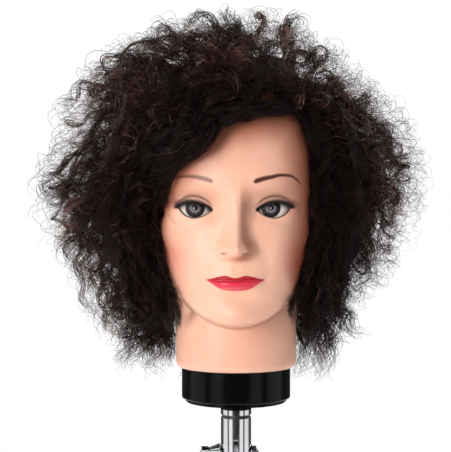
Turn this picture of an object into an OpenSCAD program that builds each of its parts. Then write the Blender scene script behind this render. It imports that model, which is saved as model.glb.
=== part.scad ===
// Mannequin training head on a table clamp holder, in millimetres.
// Origin: centre of the clamp's upper jaw face, which rests on the table top.
// +Z is up the post, the face looks along -Y, and +X is the viewer's right.

/* [Head] */
// Height of the neck's lower rim above the table top
neck_z = 166; // [160:1:200]
// Radius of the neck
neck_r = 53.5; // [52:0.5:56]
// Height of the head from the neck's rim to the crown
head_h = 257; // [245:1:270]
// Half the greatest width of the skull
skull_half_w = 77; // [72:1:80]
// Thickness of the vinyl skin
skin_t = 5; // [4:0.5:6]
// Distance between the eyes' centres
eye_spacing = 63; // [60:1:66]
// Height of the eyes above the neck's rim
eye_h = 139; // [136:1:142]

/* [Hair] */
// Half the width of the hair at its widest
hair_half_w = 172; // [160:1:185]
// How far the hair reaches in front of the post's axis
hair_front = 122; // [115:1:130]
// How far the hair reaches behind the post's axis
hair_back_reach = 152; // [140:1:165]
// Height of the hair above the widest level
hair_rise = 150; // [140:1:160]
// Gap between the vinyl skin and the hair masses
hair_gap = 0.5; // [0.4:0.1:1]

/* [Base drum] */
// Radius of the drum that closes the neck
drum_r = 48.4; // [47.5:0.1:48.4]
// Length of the drum that shows under the neck
drum_show = 27.8; // [20:0.2:30]
// Thickness of the cover under the drum
cover_t = 3; // [2.8:0.2:8]
// Radius of the cover
cover_r = 45.2; // [44:0.2:46]

/* [Post] */
// Outer radius of the chrome tubes
tube_r = 13.5; // [13:0.5:14]
// Wall of the chrome tubes
tube_wall = 1.5; // [1.2:0.1:2]
// Height of the tilt pivot above the table top
pivot_z = 88.2; // [85:0.1:95]
// Radius of the tilt pivot's bolt
bolt_r = 4; // [3:0.5:4.5]
// Thickness of the tongue that the fork grips
tongue_t = 4; // [3:0.5:5]

/* [Clamp] */
// Width of the clamp's frame
clamp_w = 40; // [36:1:46]
// Thickness of the clamp's arms
arm_t = 14; // [12:1:16]
// Distance from the post's axis to the inside of the spine
throat = 31; // [28:1:36]
// Gap between the upper jaw and the shoe at rest
jaw_gap = 30; // [26:1:32]
// Radius of the clamp screw over its thread
screw_r = 7; // [6:0.5:8]
// Pitch of the clamp screw's thread
screw_pitch = 4; // [3:0.5:4]
// Radius of the tommy bar
bar_r = 3.5; // [3:0.5:4]

/* [Hidden] */
$fn = 64;
run_gap = 0.05;   // radial clearance of a running fit
seat_gap = 0.1;   // clearance between pieces that seat in each other
press_gap = 0.02; // clearance drawn where one piece is pressed on another
through = 1;      // how far a cutting tool runs past a face
reach_out = 60;   // length of a cutting tool that has to clear any piece

// Clamp
pad_t = 2;
boss_floor = arm_t - 4;   // bottom of the socket that the lower tube stands in
frame_back = throat + arm_t;
upper_arm_reach = 32;
lower_arm_top = -62;
lower_arm_reach = 18;
boss_r = 20;
boss_top = 34;
jaw_pad_w = 34;
jaw_pad_y0 = -24;
jaw_pad_y1 = 30;
set_screw_z = 24;
set_screw_r = 3;
set_screw_knob_r = 9;
set_screw_knob_l = 9;

// Clamp screw, shoe and tommy bar
shoe_t = 8;
shoe_r = 15;
shoe_facing_t = 2;
screw_neck_r = 5;
screw_head_top = -99;
screw_head_h = 18;
screw_head_r = 10;
bar_z = screw_head_top - screw_head_h / 2;
bar_half = 35;
bar_cap_r = 5.5;
bar_cap_l = 8;
bar_cap_floor = 2;

// Tilt joint
tube_in = tube_r - tube_wall;
knuckle_top = pivot_z - 17;
knuckle_flange_t = 5;
plug_l = 14;
tongue_half_w = 11;
slot_w = tongue_t + 0.4;
slot_rise = 14;
play = 0.05;              // side gap between pieces that turn against each other
washer_t = 0.7;
washer_r = 7.5;
nut_r = 6.5;
nut_l = 3.8;
nut_dome_r = 6.2;
lever_hub_x = tube_r + 1;
lever_hub_l = 8.8;
lever_hub_r = 8.8;
lever_neck_r = 5.3;
lever_cap_r = 6;
lever_cap_l = 8.8;
lever_rod_r = 3.2;
lever_l = 55;
lever_lean = 28;
lever_swing = 18;
grip_l = 16;
grip_r = 6.5;
lever_root = 4;           // how far inside the cap the lever's line starts

// Swivel
tube_top = pivot_z + 32.2;
thrust_t = 3.1;
ferrule_h = 4.5;
shoulder_z = neck_z - drum_show - cover_t;
spigot_r = 11.5;
spigot_top = shoulder_z + 64;
spindle_r = 6;
spindle_seat = 12;
ring_below_top = 4;
spindle_top = spigot_top - 10;
ring_t = 1.2;
ring_groove = 1;
ring_spread = 2.4;        // how far the retaining ring stands out of the spindle
ring_gap = 4;             // width of the ring's open end
ferrule_r = tube_r + 0.2;
spigot_neck_r = spindle_r + 3;
spigot_chamfer = 2;

// Drum and cover
drum_wall = 3;
drum_edge = 1.8;          // radius of the drum's lower edge
drum_bottom = neck_z - drum_show;
drum_top = neck_z + 24;
socket_r = spigot_r + run_gap;
socket_wall = 3;
screw_circle_r = 34;
cover_screw_count = 4;
cover_screw_r = 1.75;
cover_boss_r = 4;
cover_step_r = drum_r - drum_wall - 0.4;
cover_step_h = 4;
cover_step_wall = 2;
cover_lip = 1;            // step of the cover's lower edge
cover_groove = 0.6;       // shadow line between the cover and the drum
cover_screw_head_r = 3.5;
cover_screw_head_t = 1.6;
screw_sink = 0.4;         // how far the cover screws' heads sit inside the cover's face
cover_screw_l = 20;

// Head and hair: the surface is a grid of rings about the post's axis
seg = 60;
step = 360 / seg;
dome_h = 185;             // rings above this height follow an ellipsoid
dome_rise = head_h - dome_h;
side_rings = 26;
dome_rings = 8;
ring_count = side_rings + dome_rings;
crown_ring = 28;          // first ring of the hair over the crown
hair_low_ring = 2;        // lowest ring that the hair hangs to
fringe_ring = 25;         // lowest ring of the fringe
hair_wide_h = 150;        // height at which the hair is widest
temple_seg = 11;          // segments from the face's middle to the hair's front edge
nape_seg = 22;            // segments from the face's middle to the back hair
eye_r = 12.2;
eye_y = -62;
eye_clear = 0.4;          // gap round the eyes in the skin
skin_pocket_y = -40;      // how far back the skin's eye holes run
foam_pocket_r = 16;
foam_pocket_y = -44;
foam_gap = 1.5;           // gap between the skin's inside and the foam
foam_neck_h = 52;         // the foam is a plain cylinder up to this height
foam_face_h = 60;         // the foam follows the face from the first level above this
nose_wall = 0.6;          // share of the nose that shows inside the skin
foam_bore_rise = 19;      // how far the foam's bore runs above the spigot
nose_l = 26;
nose_h = 96;
nose_angle = 9;

// Height, half width, front reach and back reach of the head at chosen levels
PROFILE = [
    [0, 51.5, 51.5, 51.5], [4, 53.5, 53.5, 53.5], [32, 53.5, 54.5, 53.5], [39, 53.6, 60, 54],
    [46, 54.5, 82, 55], [56, 57, 87, 59], [70, 60, 88, 65], [82, 63, 88, 71],
    [100, 67, 86, 81], [120, 71, 84, 91], [140, 74, 82.5, 97], [160, 76, 88, 100], [185, 77, 91, 101]
];

function column(k) = [for (row = PROFILE) [row[0], row[k]]];
SKULL = PROFILE[len(PROFILE) - 1];   // the head's reaches where the dome starts

function dome(h) = sqrt(max(0, 1 - pow((h - dome_h) / dome_rise, 2)));
function half_width(h) =
    (h <= dome_h ? lookup(h, column(1)) : SKULL[1] * dome(h)) * skull_half_w / SKULL[1];
function front(h) = h <= dome_h ? lookup(h, column(2)) : SKULL[2] * dome(h);
function back(h) = h <= dome_h ? lookup(h, column(3)) : SKULL[3] * dome(h);
function bell(x, width) = exp(-pow(x / width, 2));
// The nose rises from the bridge to its tip, then drops to the upper lip
function nose(a, h) =
    let (turn = a > 180 ? a - 360 : a)
    nose_l * bell(turn, nose_angle) * bell(h - nose_h, h > nose_h ? 27 : 8);

// Ring k's height: even up to the dome, then closer towards the crown
function ring_h(k) = k <= side_rings
    ? dome_h * k / side_rings
    : dome_h + dome_rise * sin(90 * (k - side_rings) / dome_rings);

// Point of the head's surface moved in by t, at angle a from the face's middle
function skin_point(a, h, t) =
    let (
        w = half_width(h) - t,
        nose_share = t == 0 ? 1 : t > skin_t ? 0 : nose_wall,
        d = cos(a) > 0 ? front(h) - t + nose(a, h) * nose_share : back(h) - t
    )
    [w * sin(a), -d * cos(a), neck_z + h];

// Hair: outward direction at a skin point, and the reach of the outer surface
function outward(p) =
    let (v = [p[0], p[1], max(0, p[2] - neck_z - hair_wide_h)])
    v / norm(v);
function hair_fall(h) = h >= hair_wide_h ? 1 : 1 - 0.6 * pow((hair_wide_h - h) / hair_wide_h, 1.6);
function hair_reach(d, h) =
    let (depth = d[1] < 0 ? hair_front : hair_back_reach)
    hair_fall(h) / norm([d[0] / hair_half_w, d[1] / depth, d[2] / hair_rise]);
function hair_outer(a, k) =
    let (p = skin_point(a, ring_h(k), 0), d = outward(p), h = ring_h(k))
    h >= hair_wide_h
        ? d * hair_reach(d, h) + [0, 0, neck_z + hair_wide_h]
        : d * hair_reach(d, h) + [0, 0, p[2]];
function hair_inner(a, k) =
    let (p = skin_point(a, ring_h(k), 0))
    p + outward(p) * hair_gap;

// Closed solid between two grids of points, both with rows of n points
module grid_solid(outer, inner, rows, n) {
    size = rows * n;
    faces = [
        for (r = [0 : rows - 2], c = [0 : n - 2])
            let (i = r * n + c)
            each [[i, i + n, i + 1], [i + 1, i + n, i + n + 1],
                  [i + size, i + size + 1, i + size + n], [i + size + 1, i + size + n + 1, i + size + n]],
        for (c = [0 : n - 2])
            let (i = c, j = (rows - 1) * n + c)
            each [[i, i + 1, i + size], [i + 1, i + size + 1, i + size],
                  [j, j + size, j + 1], [j + 1, j + size, j + size + 1]],
        for (r = [0 : rows - 2])
            let (i = r * n, j = r * n + n - 1)
            each [[i, i + size, i + n], [i + n, i + size, i + size + n],
                  [j, j + n, j + size], [j + n, j + n + size, j + size]]
    ];
    polyhedron(points = concat(outer, inner), faces = faces);
}

// Closed solid of full rings that ends in a point; rings run from the bottom up
function ring_faces(rows, first, flip) = [
    for (r = [0 : rows - 2], c = [0 : seg - 1])
        let (i = first + r * seg + c, j = first + r * seg + (c + 1) % seg)
        each flip
            ? [[i, i + seg, j], [j, i + seg, j + seg]]
            : [[i, j, i + seg], [j, j + seg, i + seg]]
];
function cap_faces(rows, first, apex, flip) = [
    for (c = [0 : seg - 1])
        let (i = first + (rows - 1) * seg + c, j = first + (rows - 1) * seg + (c + 1) % seg)
        flip ? [i, apex, j] : [i, j, apex]
];
function rim_faces(a, b) = [
    for (c = [0 : seg - 1])
        let (d = (c + 1) % seg)
        each [[a + c, a + d, b + c], [a + d, b + d, b + c]]
];

module cup(outer, inner, outer_apex, inner_apex, outer_rows, inner_rows) {
    inner_first = outer_rows * seg;
    apex = inner_first + inner_rows * seg;
    polyhedron(
        points = concat(outer, inner, [outer_apex, inner_apex]),
        faces = concat(
            ring_faces(outer_rows, 0, true),
            cap_faces(outer_rows, 0, apex, true),
            ring_faces(inner_rows, inner_first, false),
            cap_faces(inner_rows, inner_first, apex + 1, false),
            rim_faces(0, inner_first)
        )
    );
}

module along_x(x0, length, r) {
    translate([x0, 0, 0]) rotate([0, 90, 0]) cylinder(h = length, r = r);
}

module at_pivot() {
    translate([0, 0, pivot_z]) children();
}

// ---- Clamp ----

module clamp_frame() {
    color("#2b2d30")
    difference() {
        union() {
            translate([-clamp_w / 2, -frame_back, pad_t])
                cube([clamp_w, frame_back + upper_arm_reach, arm_t - pad_t]);
            translate([-clamp_w / 2, -frame_back, lower_arm_top - arm_t])
                cube([clamp_w, arm_t, arm_t - lower_arm_top + pad_t]);
            translate([-clamp_w / 2, -frame_back, lower_arm_top - arm_t])
                cube([clamp_w, frame_back, arm_t]);
            translate([0, 0, lower_arm_top - arm_t])
                cylinder(h = arm_t, r = lower_arm_reach + 2);
            translate([0, 0, pad_t])
                cylinder(h = boss_top - pad_t, r = boss_r);
        }
        translate([0, 0, boss_floor])
            cylinder(h = boss_top, r = tube_r + seat_gap);
        translate([0, 0, lower_arm_top - arm_t - through])
            cylinder(h = arm_t + 2 * through, r = screw_r + run_gap);
        translate([0, 0, set_screw_z]) rotate([90, 0, 0])
            cylinder(h = boss_r + through, r = set_screw_r);
    }
}

module jaw_pad() {
    color("#151515")
    translate([-jaw_pad_w / 2, jaw_pad_y0, 0])
        cube([jaw_pad_w, jaw_pad_y1 - jaw_pad_y0, pad_t]);
}

module lower_tube() {
    color("silver")
    translate([0, 0, boss_floor])
    difference() {
        cylinder(h = knuckle_top - knuckle_flange_t - boss_floor, r = tube_r);
        translate([0, 0, -through])
            cylinder(h = knuckle_top, r = tube_in);
    }
}

module tube_set_screw() {
    color("dimgray")
    translate([0, 0, set_screw_z]) rotate([90, 0, 0]) {
        translate([0, 0, tube_r + play])
            cylinder(h = boss_r - tube_r + set_screw_knob_l / 2, r = set_screw_r - seat_gap);
        translate([0, 0, boss_r + 0.5])
            cylinder(h = set_screw_knob_l, r = set_screw_knob_r);
    }
}

module tilt_knuckle() {
    color("gray")
    difference() {
        union() {
            translate([0, 0, knuckle_top - knuckle_flange_t])
                cylinder(h = knuckle_flange_t, r = tube_r);
            translate([0, 0, knuckle_top - knuckle_flange_t - plug_l])
                cylinder(h = plug_l, r = tube_in - seat_gap);
            translate([-tongue_t / 2, -tongue_half_w, knuckle_top - 1])
                cube([tongue_t, 2 * tongue_half_w, pivot_z - knuckle_top + 1]);
            at_pivot() along_x(-tongue_t / 2, tongue_t, tongue_half_w);
        }
        at_pivot() along_x(-tongue_t, 2 * tongue_t, bolt_r + run_gap);
    }
}

// ---- Clamp screw ----

module clamp_shoe() {
    color("silver")
    translate([0, 0, -jaw_gap - shoe_t])
    difference() {
        cylinder(h = shoe_t - shoe_facing_t, r = shoe_r);
        translate([0, 0, -through]) cylinder(h = shoe_t - shoe_facing_t - 1, r = screw_neck_r + run_gap);
    }
}

module shoe_facing() {
    color("#151515")
    translate([0, 0, -jaw_gap - shoe_facing_t]) cylinder(h = shoe_facing_t, r = shoe_r);
}

module clamp_screw() {
    thread_top = -jaw_gap - shoe_t - 1;
    groove = screw_pitch / 2;
    turns = floor((thread_top - screw_head_top - 2) / screw_pitch);
    color("silver")
    difference() {
        union() {
            translate([0, 0, thread_top - 1]) cylinder(h = shoe_t - 2.5, r = screw_neck_r);
            rotate_extrude()
                polygon(concat(
                    [[0, screw_head_top - 1], [screw_r, screw_head_top - 1]],
                    [for (i = [0 : turns - 1])
                        let (z = screw_head_top + 2 + i * screw_pitch)
                        each [[screw_r, z], [screw_r - groove / 2, z + groove / 2],
                              [screw_r - groove / 2, z + groove], [screw_r, z + 1.5 * groove]]],
                    [[screw_r, thread_top], [0, thread_top]]
                ));
            translate([0, 0, screw_head_top - screw_head_h])
                cylinder(h = screw_head_h, r = screw_head_r);
        }
        translate([0, 0, bar_z])
            along_x(-screw_head_r - through, 2 * (screw_head_r + through), bar_r + run_gap);
    }
}

module tommy_bar() {
    color("silver")
    translate([0, 0, bar_z]) along_x(-bar_half, 2 * bar_half, bar_r);
}

module bar_caps() {
    color("#151515")
    for (side = [-1, 1])
        translate([side * (bar_half - bar_cap_l / 2 + 1), 0, bar_z]) rotate([0, 90, 0])
            difference() {
                cylinder(h = bar_cap_l + bar_cap_floor, r = bar_cap_r, center = true);
                translate([0, 0, side > 0 ? -bar_cap_l / 2 - 1 - through : -bar_cap_l / 2 + 1])
                    cylinder(h = bar_cap_l + through, r = bar_r + press_gap);
            }
}

// ---- Tilting post ----

// What the fork keeps: all above the pivot, and a round end below it
module fork_end() {
    intersection() {
        children();
        union() {
            at_pivot() along_x(-tube_r - through, 2 * (tube_r + through), tube_r);
            translate([-2 * tube_r, -2 * tube_r, pivot_z]) cube([4 * tube_r, 4 * tube_r, reach_out]);
        }
    }
}

module fork_slot() {
    translate([-slot_w / 2, -2 * tube_r, pivot_z - 2 * tube_r])
        cube([slot_w, 4 * tube_r, 2 * tube_r + slot_rise]);
    at_pivot() along_x(-2 * tube_r, 4 * tube_r, bolt_r + run_gap);
}

module upper_tube() {
    color("silver")
    difference() {
        fork_end()
            translate([0, 0, pivot_z - tube_r]) cylinder(h = tube_top - pivot_z + tube_r, r = tube_r);
        translate([0, 0, pivot_z - 2 * tube_r]) cylinder(h = 2 * reach_out, r = tube_in);
        fork_slot();
    }
}

module fork_insert() {
    color("gray")
    difference() {
        fork_end()
            translate([0, 0, pivot_z - tube_r])
                cylinder(h = tube_top - pivot_z + tube_r, r = tube_in - seat_gap);
        fork_slot();
        translate([0, 0, tube_top - spindle_seat])
            cylinder(h = spindle_seat + through, r = spindle_r + press_gap);
    }
}

module pivot_bolt() {
    color("silver")
    at_pivot() along_x(-lever_hub_x - lever_hub_l, 2 * lever_hub_x + lever_hub_l, bolt_r);
}

module dome_nut() {
    nut_x = tube_r + washer_t + seat_gap;
    color("dimgray")
    at_pivot() translate([nut_x, 0, 0]) rotate([0, 90, 0])
    difference() {
        union() {
            cylinder(h = nut_l, r = nut_r, $fn = 6);
            intersection() {
                sphere(r = nut_dome_r);
                translate([-nut_r, -nut_r, nut_l / 2]) cube(2 * nut_r);
            }
        }
        translate([0, 0, -through]) cylinder(h = lever_hub_x - nut_x + through, r = bolt_r + press_gap);
    }
}

module pivot_washers() {
    color("silver")
    at_pivot()
    for (x = [-tube_r - washer_t - play, tube_r + play])
        difference() {
            along_x(x, washer_t, washer_r);
            along_x(x - through, washer_t + 2 * through, bolt_r + run_gap);
        }
}

module spindle() {
    color("silver")
    difference() {
        translate([0, 0, tube_top - spindle_seat])
            cylinder(h = spindle_top - tube_top + spindle_seat, r = spindle_r);
        translate([0, 0, spindle_top - ring_below_top])
            difference() {
                cylinder(h = ring_t, r = spindle_r + through);
                translate([0, 0, -through]) cylinder(h = ring_t + 2 * through, r = spindle_r - ring_groove);
            }
    }
}

module retaining_ring() {
    color("dimgray")
    translate([0, 0, spindle_top - ring_below_top + seat_gap])
    difference() {
        cylinder(h = ring_t - 2 * seat_gap, r = spindle_r + ring_spread);
        translate([0, 0, -through])
            cylinder(h = ring_t + 2 * through, r = spindle_r - ring_groove + seat_gap);
        translate([0, -ring_gap / 2, -through])
            cube([2 * spindle_r, ring_gap, ring_t + 2 * through]);
    }
}

module thrust_washer() {
    color("#202020")
    translate([0, 0, tube_top])
    difference() {
        cylinder(h = thrust_t, r = tube_r - 1);
        translate([0, 0, -through]) cylinder(h = thrust_t + 2 * through, r = spindle_r + run_gap);
    }
}

// ---- Lock lever ----

module lever_hub() {
    color("#202020")
    at_pivot() rotate([0, -90, 0]) translate([0, 0, lever_hub_x])
    difference() {
        cylinder(h = lever_hub_l, r1 = lever_hub_r, r2 = lever_neck_r);
        translate([0, 0, -through]) cylinder(h = lever_hub_l + 2 * through, r = bolt_r + run_gap);
    }
}

module lever_cap() {
    color("silver")
    at_pivot() rotate([0, -90, 0]) translate([0, 0, lever_hub_x + lever_hub_l + play])
        rotate_extrude()
            polygon(concat(
                [[0, 0], [lever_neck_r, 0], [lever_neck_r, 1.5], [lever_cap_r, 1.5]],
                [for (a = [0 : 15 : 90]) [lever_cap_r - 2 + 2 * cos(a), lever_cap_l - 2 + 2 * sin(a)]],
                [[0, lever_cap_l]]
            ));
}

// The lever's own line, from the cap outwards and down, swung to the back
module on_lever() {
    at_pivot() translate([-lever_hub_x - lever_hub_l - lever_root, 0, 0])
        rotate([-lever_swing, 0, 0]) rotate([0, 180 + lever_lean, 0]) children();
}

module lever_arm() {
    color("silver")
    difference() {
        on_lever() cylinder(h = lever_l + 1, r = lever_rod_r);
        at_pivot() along_x(-reach_out, reach_out, lever_cap_r + play);
    }
}

module lever_grip() {
    color("#151515")
    on_lever()
    difference() {
        union() {
            translate([0, 0, lever_l - grip_l]) cylinder(h = grip_l, r1 = grip_r - 2, r2 = grip_r);
            translate([0, 0, lever_l]) sphere(r = grip_r);
        }
        translate([0, 0, lever_l - grip_l - through])
            cylinder(h = grip_l + 2.2 * through, r = lever_rod_r + press_gap);
    }
}

// ---- Swivel ----

module swivel_ferrule() {
    color("silver")
    translate([0, 0, tube_top + thrust_t])
    difference() {
        cylinder(h = ferrule_h, r = ferrule_r);
        translate([0, 0, -through]) cylinder(h = ferrule_h + 2 * through, r = spigot_neck_r + seat_gap);
    }
}

module head_spigot() {
    base = tube_top + thrust_t;
    color("#151515")
    difference() {
        union() {
            translate([0, 0, base]) cylinder(h = ferrule_h, r = spigot_neck_r);
            translate([0, 0, base + ferrule_h]) cylinder(h = shoulder_z - base - ferrule_h, r = ferrule_r);
            translate([0, 0, shoulder_z])
                cylinder(h = spigot_top - shoulder_z - spigot_chamfer, r = spigot_r);
            translate([0, 0, spigot_top - spigot_chamfer])
                cylinder(h = spigot_chamfer, r1 = spigot_r, r2 = spigot_r - 1.5);
        }
        translate([0, 0, base - through])
            cylinder(h = spigot_top - base + 2 * through, r = spindle_r + run_gap);
        translate([0, 0, spindle_top - ring_below_top - 2 * seat_gap])
            cylinder(h = reach_out, r = spigot_neck_r);
    }
}

module spigot_cap() {
    color("#202020")
    translate([0, 0, spigot_top - 2.5]) cylinder(h = 2, r = spigot_neck_r - seat_gap);
}

// ---- Head ----

module cover_screw_spots() {
    for (i = [0 : cover_screw_count - 1])
        rotate([0, 0, 45 + 360 * i / cover_screw_count]) translate([screw_circle_r, 0, 0]) children();
}

module base_drum() {
    color("#101010")
    difference() {
        union() {
            rotate_extrude()
                polygon(concat(
                    [for (a = [-90 : 15 : 0])
                        [drum_r - drum_edge * (1 - cos(a)), drum_bottom + drum_edge * (1 + sin(a))]],
                    [[drum_r, drum_top],
                     [socket_r + through, drum_top],
                     [socket_r + through, drum_top - drum_wall],
                     [drum_r - drum_wall, drum_top - drum_wall],
                     [drum_r - drum_wall, drum_bottom]]
                ));
            translate([0, 0, drum_bottom])
                cylinder(h = drum_top - drum_bottom, r = socket_r + socket_wall);
            translate([0, 0, drum_top - through])
                cylinder(h = spigot_top - drum_top + 4, r = socket_r + socket_wall);
            cover_screw_spots()
                translate([0, 0, drum_bottom + 4])
                    cylinder(h = drum_top - drum_bottom - 5, r = cover_boss_r);
        }
        translate([0, 0, drum_bottom - through])
            cylinder(h = spigot_top - drum_bottom + 1.5, r = socket_r);
        cover_screw_spots() translate([0, 0, drum_bottom]) cylinder(h = cover_screw_l, r = cover_screw_r);
    }
}

module base_cover() {
    color("#101010")
    difference() {
        union() {
            translate([0, 0, shoulder_z])
                cylinder(h = cover_t - cover_groove, r = cover_r - cover_lip);
            translate([0, 0, shoulder_z + cover_lip])
                cylinder(h = cover_t - cover_groove - cover_lip, r = cover_r);
            translate([0, 0, shoulder_z + cover_lip])
                cylinder(h = cover_t - cover_lip, r = cover_r - 4);
            translate([0, 0, shoulder_z + cover_t - through])
                difference() {
                    cylinder(h = cover_step_h + through, r = cover_step_r);
                    cylinder(h = cover_step_h + 2 * through, r = cover_step_r - cover_step_wall);
                }
        }
        translate([0, 0, shoulder_z - through]) cylinder(h = cover_t + 2 * through, r = socket_r);
        cover_screw_spots() {
            translate([0, 0, shoulder_z - through])
                cylinder(h = cover_t + 2 * through, r = cover_screw_r + 0.3);
            translate([0, 0, shoulder_z - through])
                cylinder(h = cover_screw_head_t + screw_sink + seat_gap + through,
                         r = cover_screw_head_r + 0.3);
        }
    }
}

module cover_screws() {
    color("silver")
    cover_screw_spots() {
        translate([0, 0, shoulder_z + screw_sink])
            cylinder(h = cover_screw_head_t, r = cover_screw_head_r);
        translate([0, 0, shoulder_z + screw_sink + cover_screw_head_t / 2])
            cylinder(h = cover_screw_l, r = cover_screw_r - press_gap);
    }
}

module eye_pockets(depth_y, r) {
    for (side = [-1, 1])
        translate([side * eye_spacing / 2, depth_y, neck_z + eye_h]) rotate([90, 0, 0])
            cylinder(h = reach_out, r = r);
}

inner_levels = [24, 34, 44, 56, 70, 84, 100, 116, 132, 148, 164, 180, 196, 210, 222, 232, 240, 246];
socket_levels = [0, 12, 23.8];

function skin_ring(h, t) = [for (c = [0 : seg - 1]) skin_point(c * step, h, t)];
function round_ring(h, r) = [for (c = [0 : seg - 1]) [r * sin(c * step), -r * cos(c * step), neck_z + h]];

module head_skin() {
    socket_in = drum_r + 0.35;
    color("#f2c7a5")
    difference() {
        cup(
            [for (k = [0 : ring_count - 1]) each skin_ring(ring_h(k), 0)],
            concat(
                [for (h = socket_levels) each round_ring(h, socket_in)],
                [for (h = inner_levels) each skin_ring(h, skin_t)]
            ),
            [0, 0, neck_z + head_h],
            [0, 0, neck_z + head_h - skin_t],
            ring_count,
            len(socket_levels) + len(inner_levels)
        );
        eye_pockets(skin_pocket_y, eye_r + eye_clear);
    }
}

module foam_core() {
    base_h = drum_top - neck_z + 0.4;
    bore_r = socket_r + socket_wall + 0.4;
    bore_h = spigot_top - neck_z + foam_bore_rise;
    clear = skin_t + foam_gap;
    core_levels = [for (h = inner_levels) if (h > foam_face_h) h];
    color("khaki")
    difference() {
        cup(
            concat(
                round_ring(base_h, neck_r - clear),
                round_ring(foam_neck_h, neck_r - clear),
                [for (h = core_levels) each skin_ring(h, clear)]
            ),
            concat(round_ring(base_h, bore_r), round_ring(bore_h, bore_r)),
            [0, 0, neck_z + head_h - clear],
            [0, 0, neck_z + bore_h + 1],
            len(core_levels) + 2,
            2
        );
        eye_pockets(foam_pocket_y, foam_pocket_r);
    }
}

module eye_ball(side) {
    color("white")
    translate([side * eye_spacing / 2, eye_y, neck_z + eye_h]) sphere(r = eye_r);
}

module eye_left() {
    eye_ball(-1);
}

module eye_right() {
    eye_ball(1);
}

// ---- Hair ----

// Hair between two angles, in segments from the face's middle, and two rings
module hair_patch(seg_from, seg_to, ring_from, ring_to) {
    n = seg_to - seg_from + 1;
    rows = ring_to - ring_from + 1;
    trim = 0.4;       // narrows the patch a little so that neighbours stay apart
    angles = [for (c = [seg_from : seg_to])
        c * step + (c == seg_from ? trim : 0) - (c == seg_to ? trim : 0)];
    color("#2a1a16")
    grid_solid(
        [for (k = [ring_from : ring_to], a = angles) hair_outer(a, k)],
        [for (k = [ring_from : ring_to], a = angles) hair_inner(a, k)],
        rows,
        n
    );
}

module hair_crown() {
    rows = ring_count - crown_ring;
    color("#2a1a16")
    cup(
        [for (k = [crown_ring : ring_count - 1], c = [0 : seg - 1]) hair_outer(c * step, k)],
        [for (k = [crown_ring : ring_count - 1], c = [0 : seg - 1]) hair_inner(c * step, k)],
        [0, 0, neck_z + hair_wide_h + hair_rise],
        [0, 0, neck_z + head_h + hair_gap],
        rows,
        rows
    );
}

module hair_fringe() {
    hair_patch(-temple_seg, -1, fringe_ring, crown_ring);
}

module hair_left() {
    hair_patch(-nape_seg, -temple_seg, hair_low_ring, crown_ring);
}

module hair_right() {
    hair_patch(temple_seg, nape_seg, hair_low_ring, crown_ring);
}

module hair_back() {
    hair_patch(nape_seg, seg - nape_seg, hair_low_ring, crown_ring);
}

clamp_frame();
jaw_pad();
lower_tube();
tube_set_screw();
tilt_knuckle();
clamp_shoe();
shoe_facing();
clamp_screw();
tommy_bar();
bar_caps();
upper_tube();
fork_insert();
pivot_bolt();
dome_nut();
pivot_washers();
spindle();
retaining_ring();
thrust_washer();
lever_hub();
lever_cap();
lever_arm();
lever_grip();
swivel_ferrule();
head_spigot();
spigot_cap();
base_drum();
base_cover();
cover_screws();
head_skin();
foam_core();
eye_left();
eye_right();
hair_crown();
hair_fringe();
hair_left();
hair_right();
hair_back();
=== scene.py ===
"""Looks of a mannequin training head on a table clamp holder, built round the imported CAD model.

Lengths inside the head and hair sections are millimetres in the head's own frame: x to the viewer's right,
y to the back, h up from the neck's rim on the post's axis. to_world() turns them into the row's metres.
"""

import math

import bpy
import numpy as np
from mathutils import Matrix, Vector


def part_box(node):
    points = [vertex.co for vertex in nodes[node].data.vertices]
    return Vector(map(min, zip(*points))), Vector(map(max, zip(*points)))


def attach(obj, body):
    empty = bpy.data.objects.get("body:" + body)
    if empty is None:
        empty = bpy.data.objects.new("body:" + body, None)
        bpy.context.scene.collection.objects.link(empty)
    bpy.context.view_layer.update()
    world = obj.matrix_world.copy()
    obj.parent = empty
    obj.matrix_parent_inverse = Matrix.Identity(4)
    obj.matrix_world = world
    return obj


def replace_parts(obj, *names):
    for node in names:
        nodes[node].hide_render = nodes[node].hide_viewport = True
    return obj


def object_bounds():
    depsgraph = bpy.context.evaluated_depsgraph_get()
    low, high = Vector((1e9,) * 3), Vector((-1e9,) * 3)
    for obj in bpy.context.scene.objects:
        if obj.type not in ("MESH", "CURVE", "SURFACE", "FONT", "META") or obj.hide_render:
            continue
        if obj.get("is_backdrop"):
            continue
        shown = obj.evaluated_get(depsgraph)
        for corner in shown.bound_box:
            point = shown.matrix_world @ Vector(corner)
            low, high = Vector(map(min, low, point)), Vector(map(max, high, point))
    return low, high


MM = 0.001

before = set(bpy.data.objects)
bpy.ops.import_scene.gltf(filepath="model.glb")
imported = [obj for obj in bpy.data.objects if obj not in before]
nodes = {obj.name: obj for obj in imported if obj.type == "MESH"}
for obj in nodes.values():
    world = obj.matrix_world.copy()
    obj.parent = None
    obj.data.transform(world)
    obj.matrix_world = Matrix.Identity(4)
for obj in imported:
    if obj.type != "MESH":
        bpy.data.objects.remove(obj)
cad_low, cad_high = (list(corner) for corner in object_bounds())
neck_rim_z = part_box("head_skin")[0].z
crown_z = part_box("head_skin")[1].z
head_height = (crown_z - neck_rim_z) / MM


# ---- helpers

def to_world(points):
    """Head-frame millimetres to metres in the row's frame."""
    return np.asarray(points, float) * MM + np.array([0.0, 0.0, neck_rim_z])


def srgb(r, g, b):
    """A colour as it looks on screen, 0 to 255 a channel, turned into linear light."""
    c = np.array([r, g, b], float) / 255
    return np.where(c <= 0.04045, c / 12.92, ((c + 0.055) / 1.055) ** 2.4)


def ease(x, low, high):
    """0 before low and 1 after high, with a smooth S between them."""
    t = limit((x - low) / (high - low))
    return t * t * (3 - 2 * t)


def mix(a, b, t):
    return a + (b - a) * t


def limit(x):
    """x kept from 0 to 1."""
    return np.clip(x, 0, 1)


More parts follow.
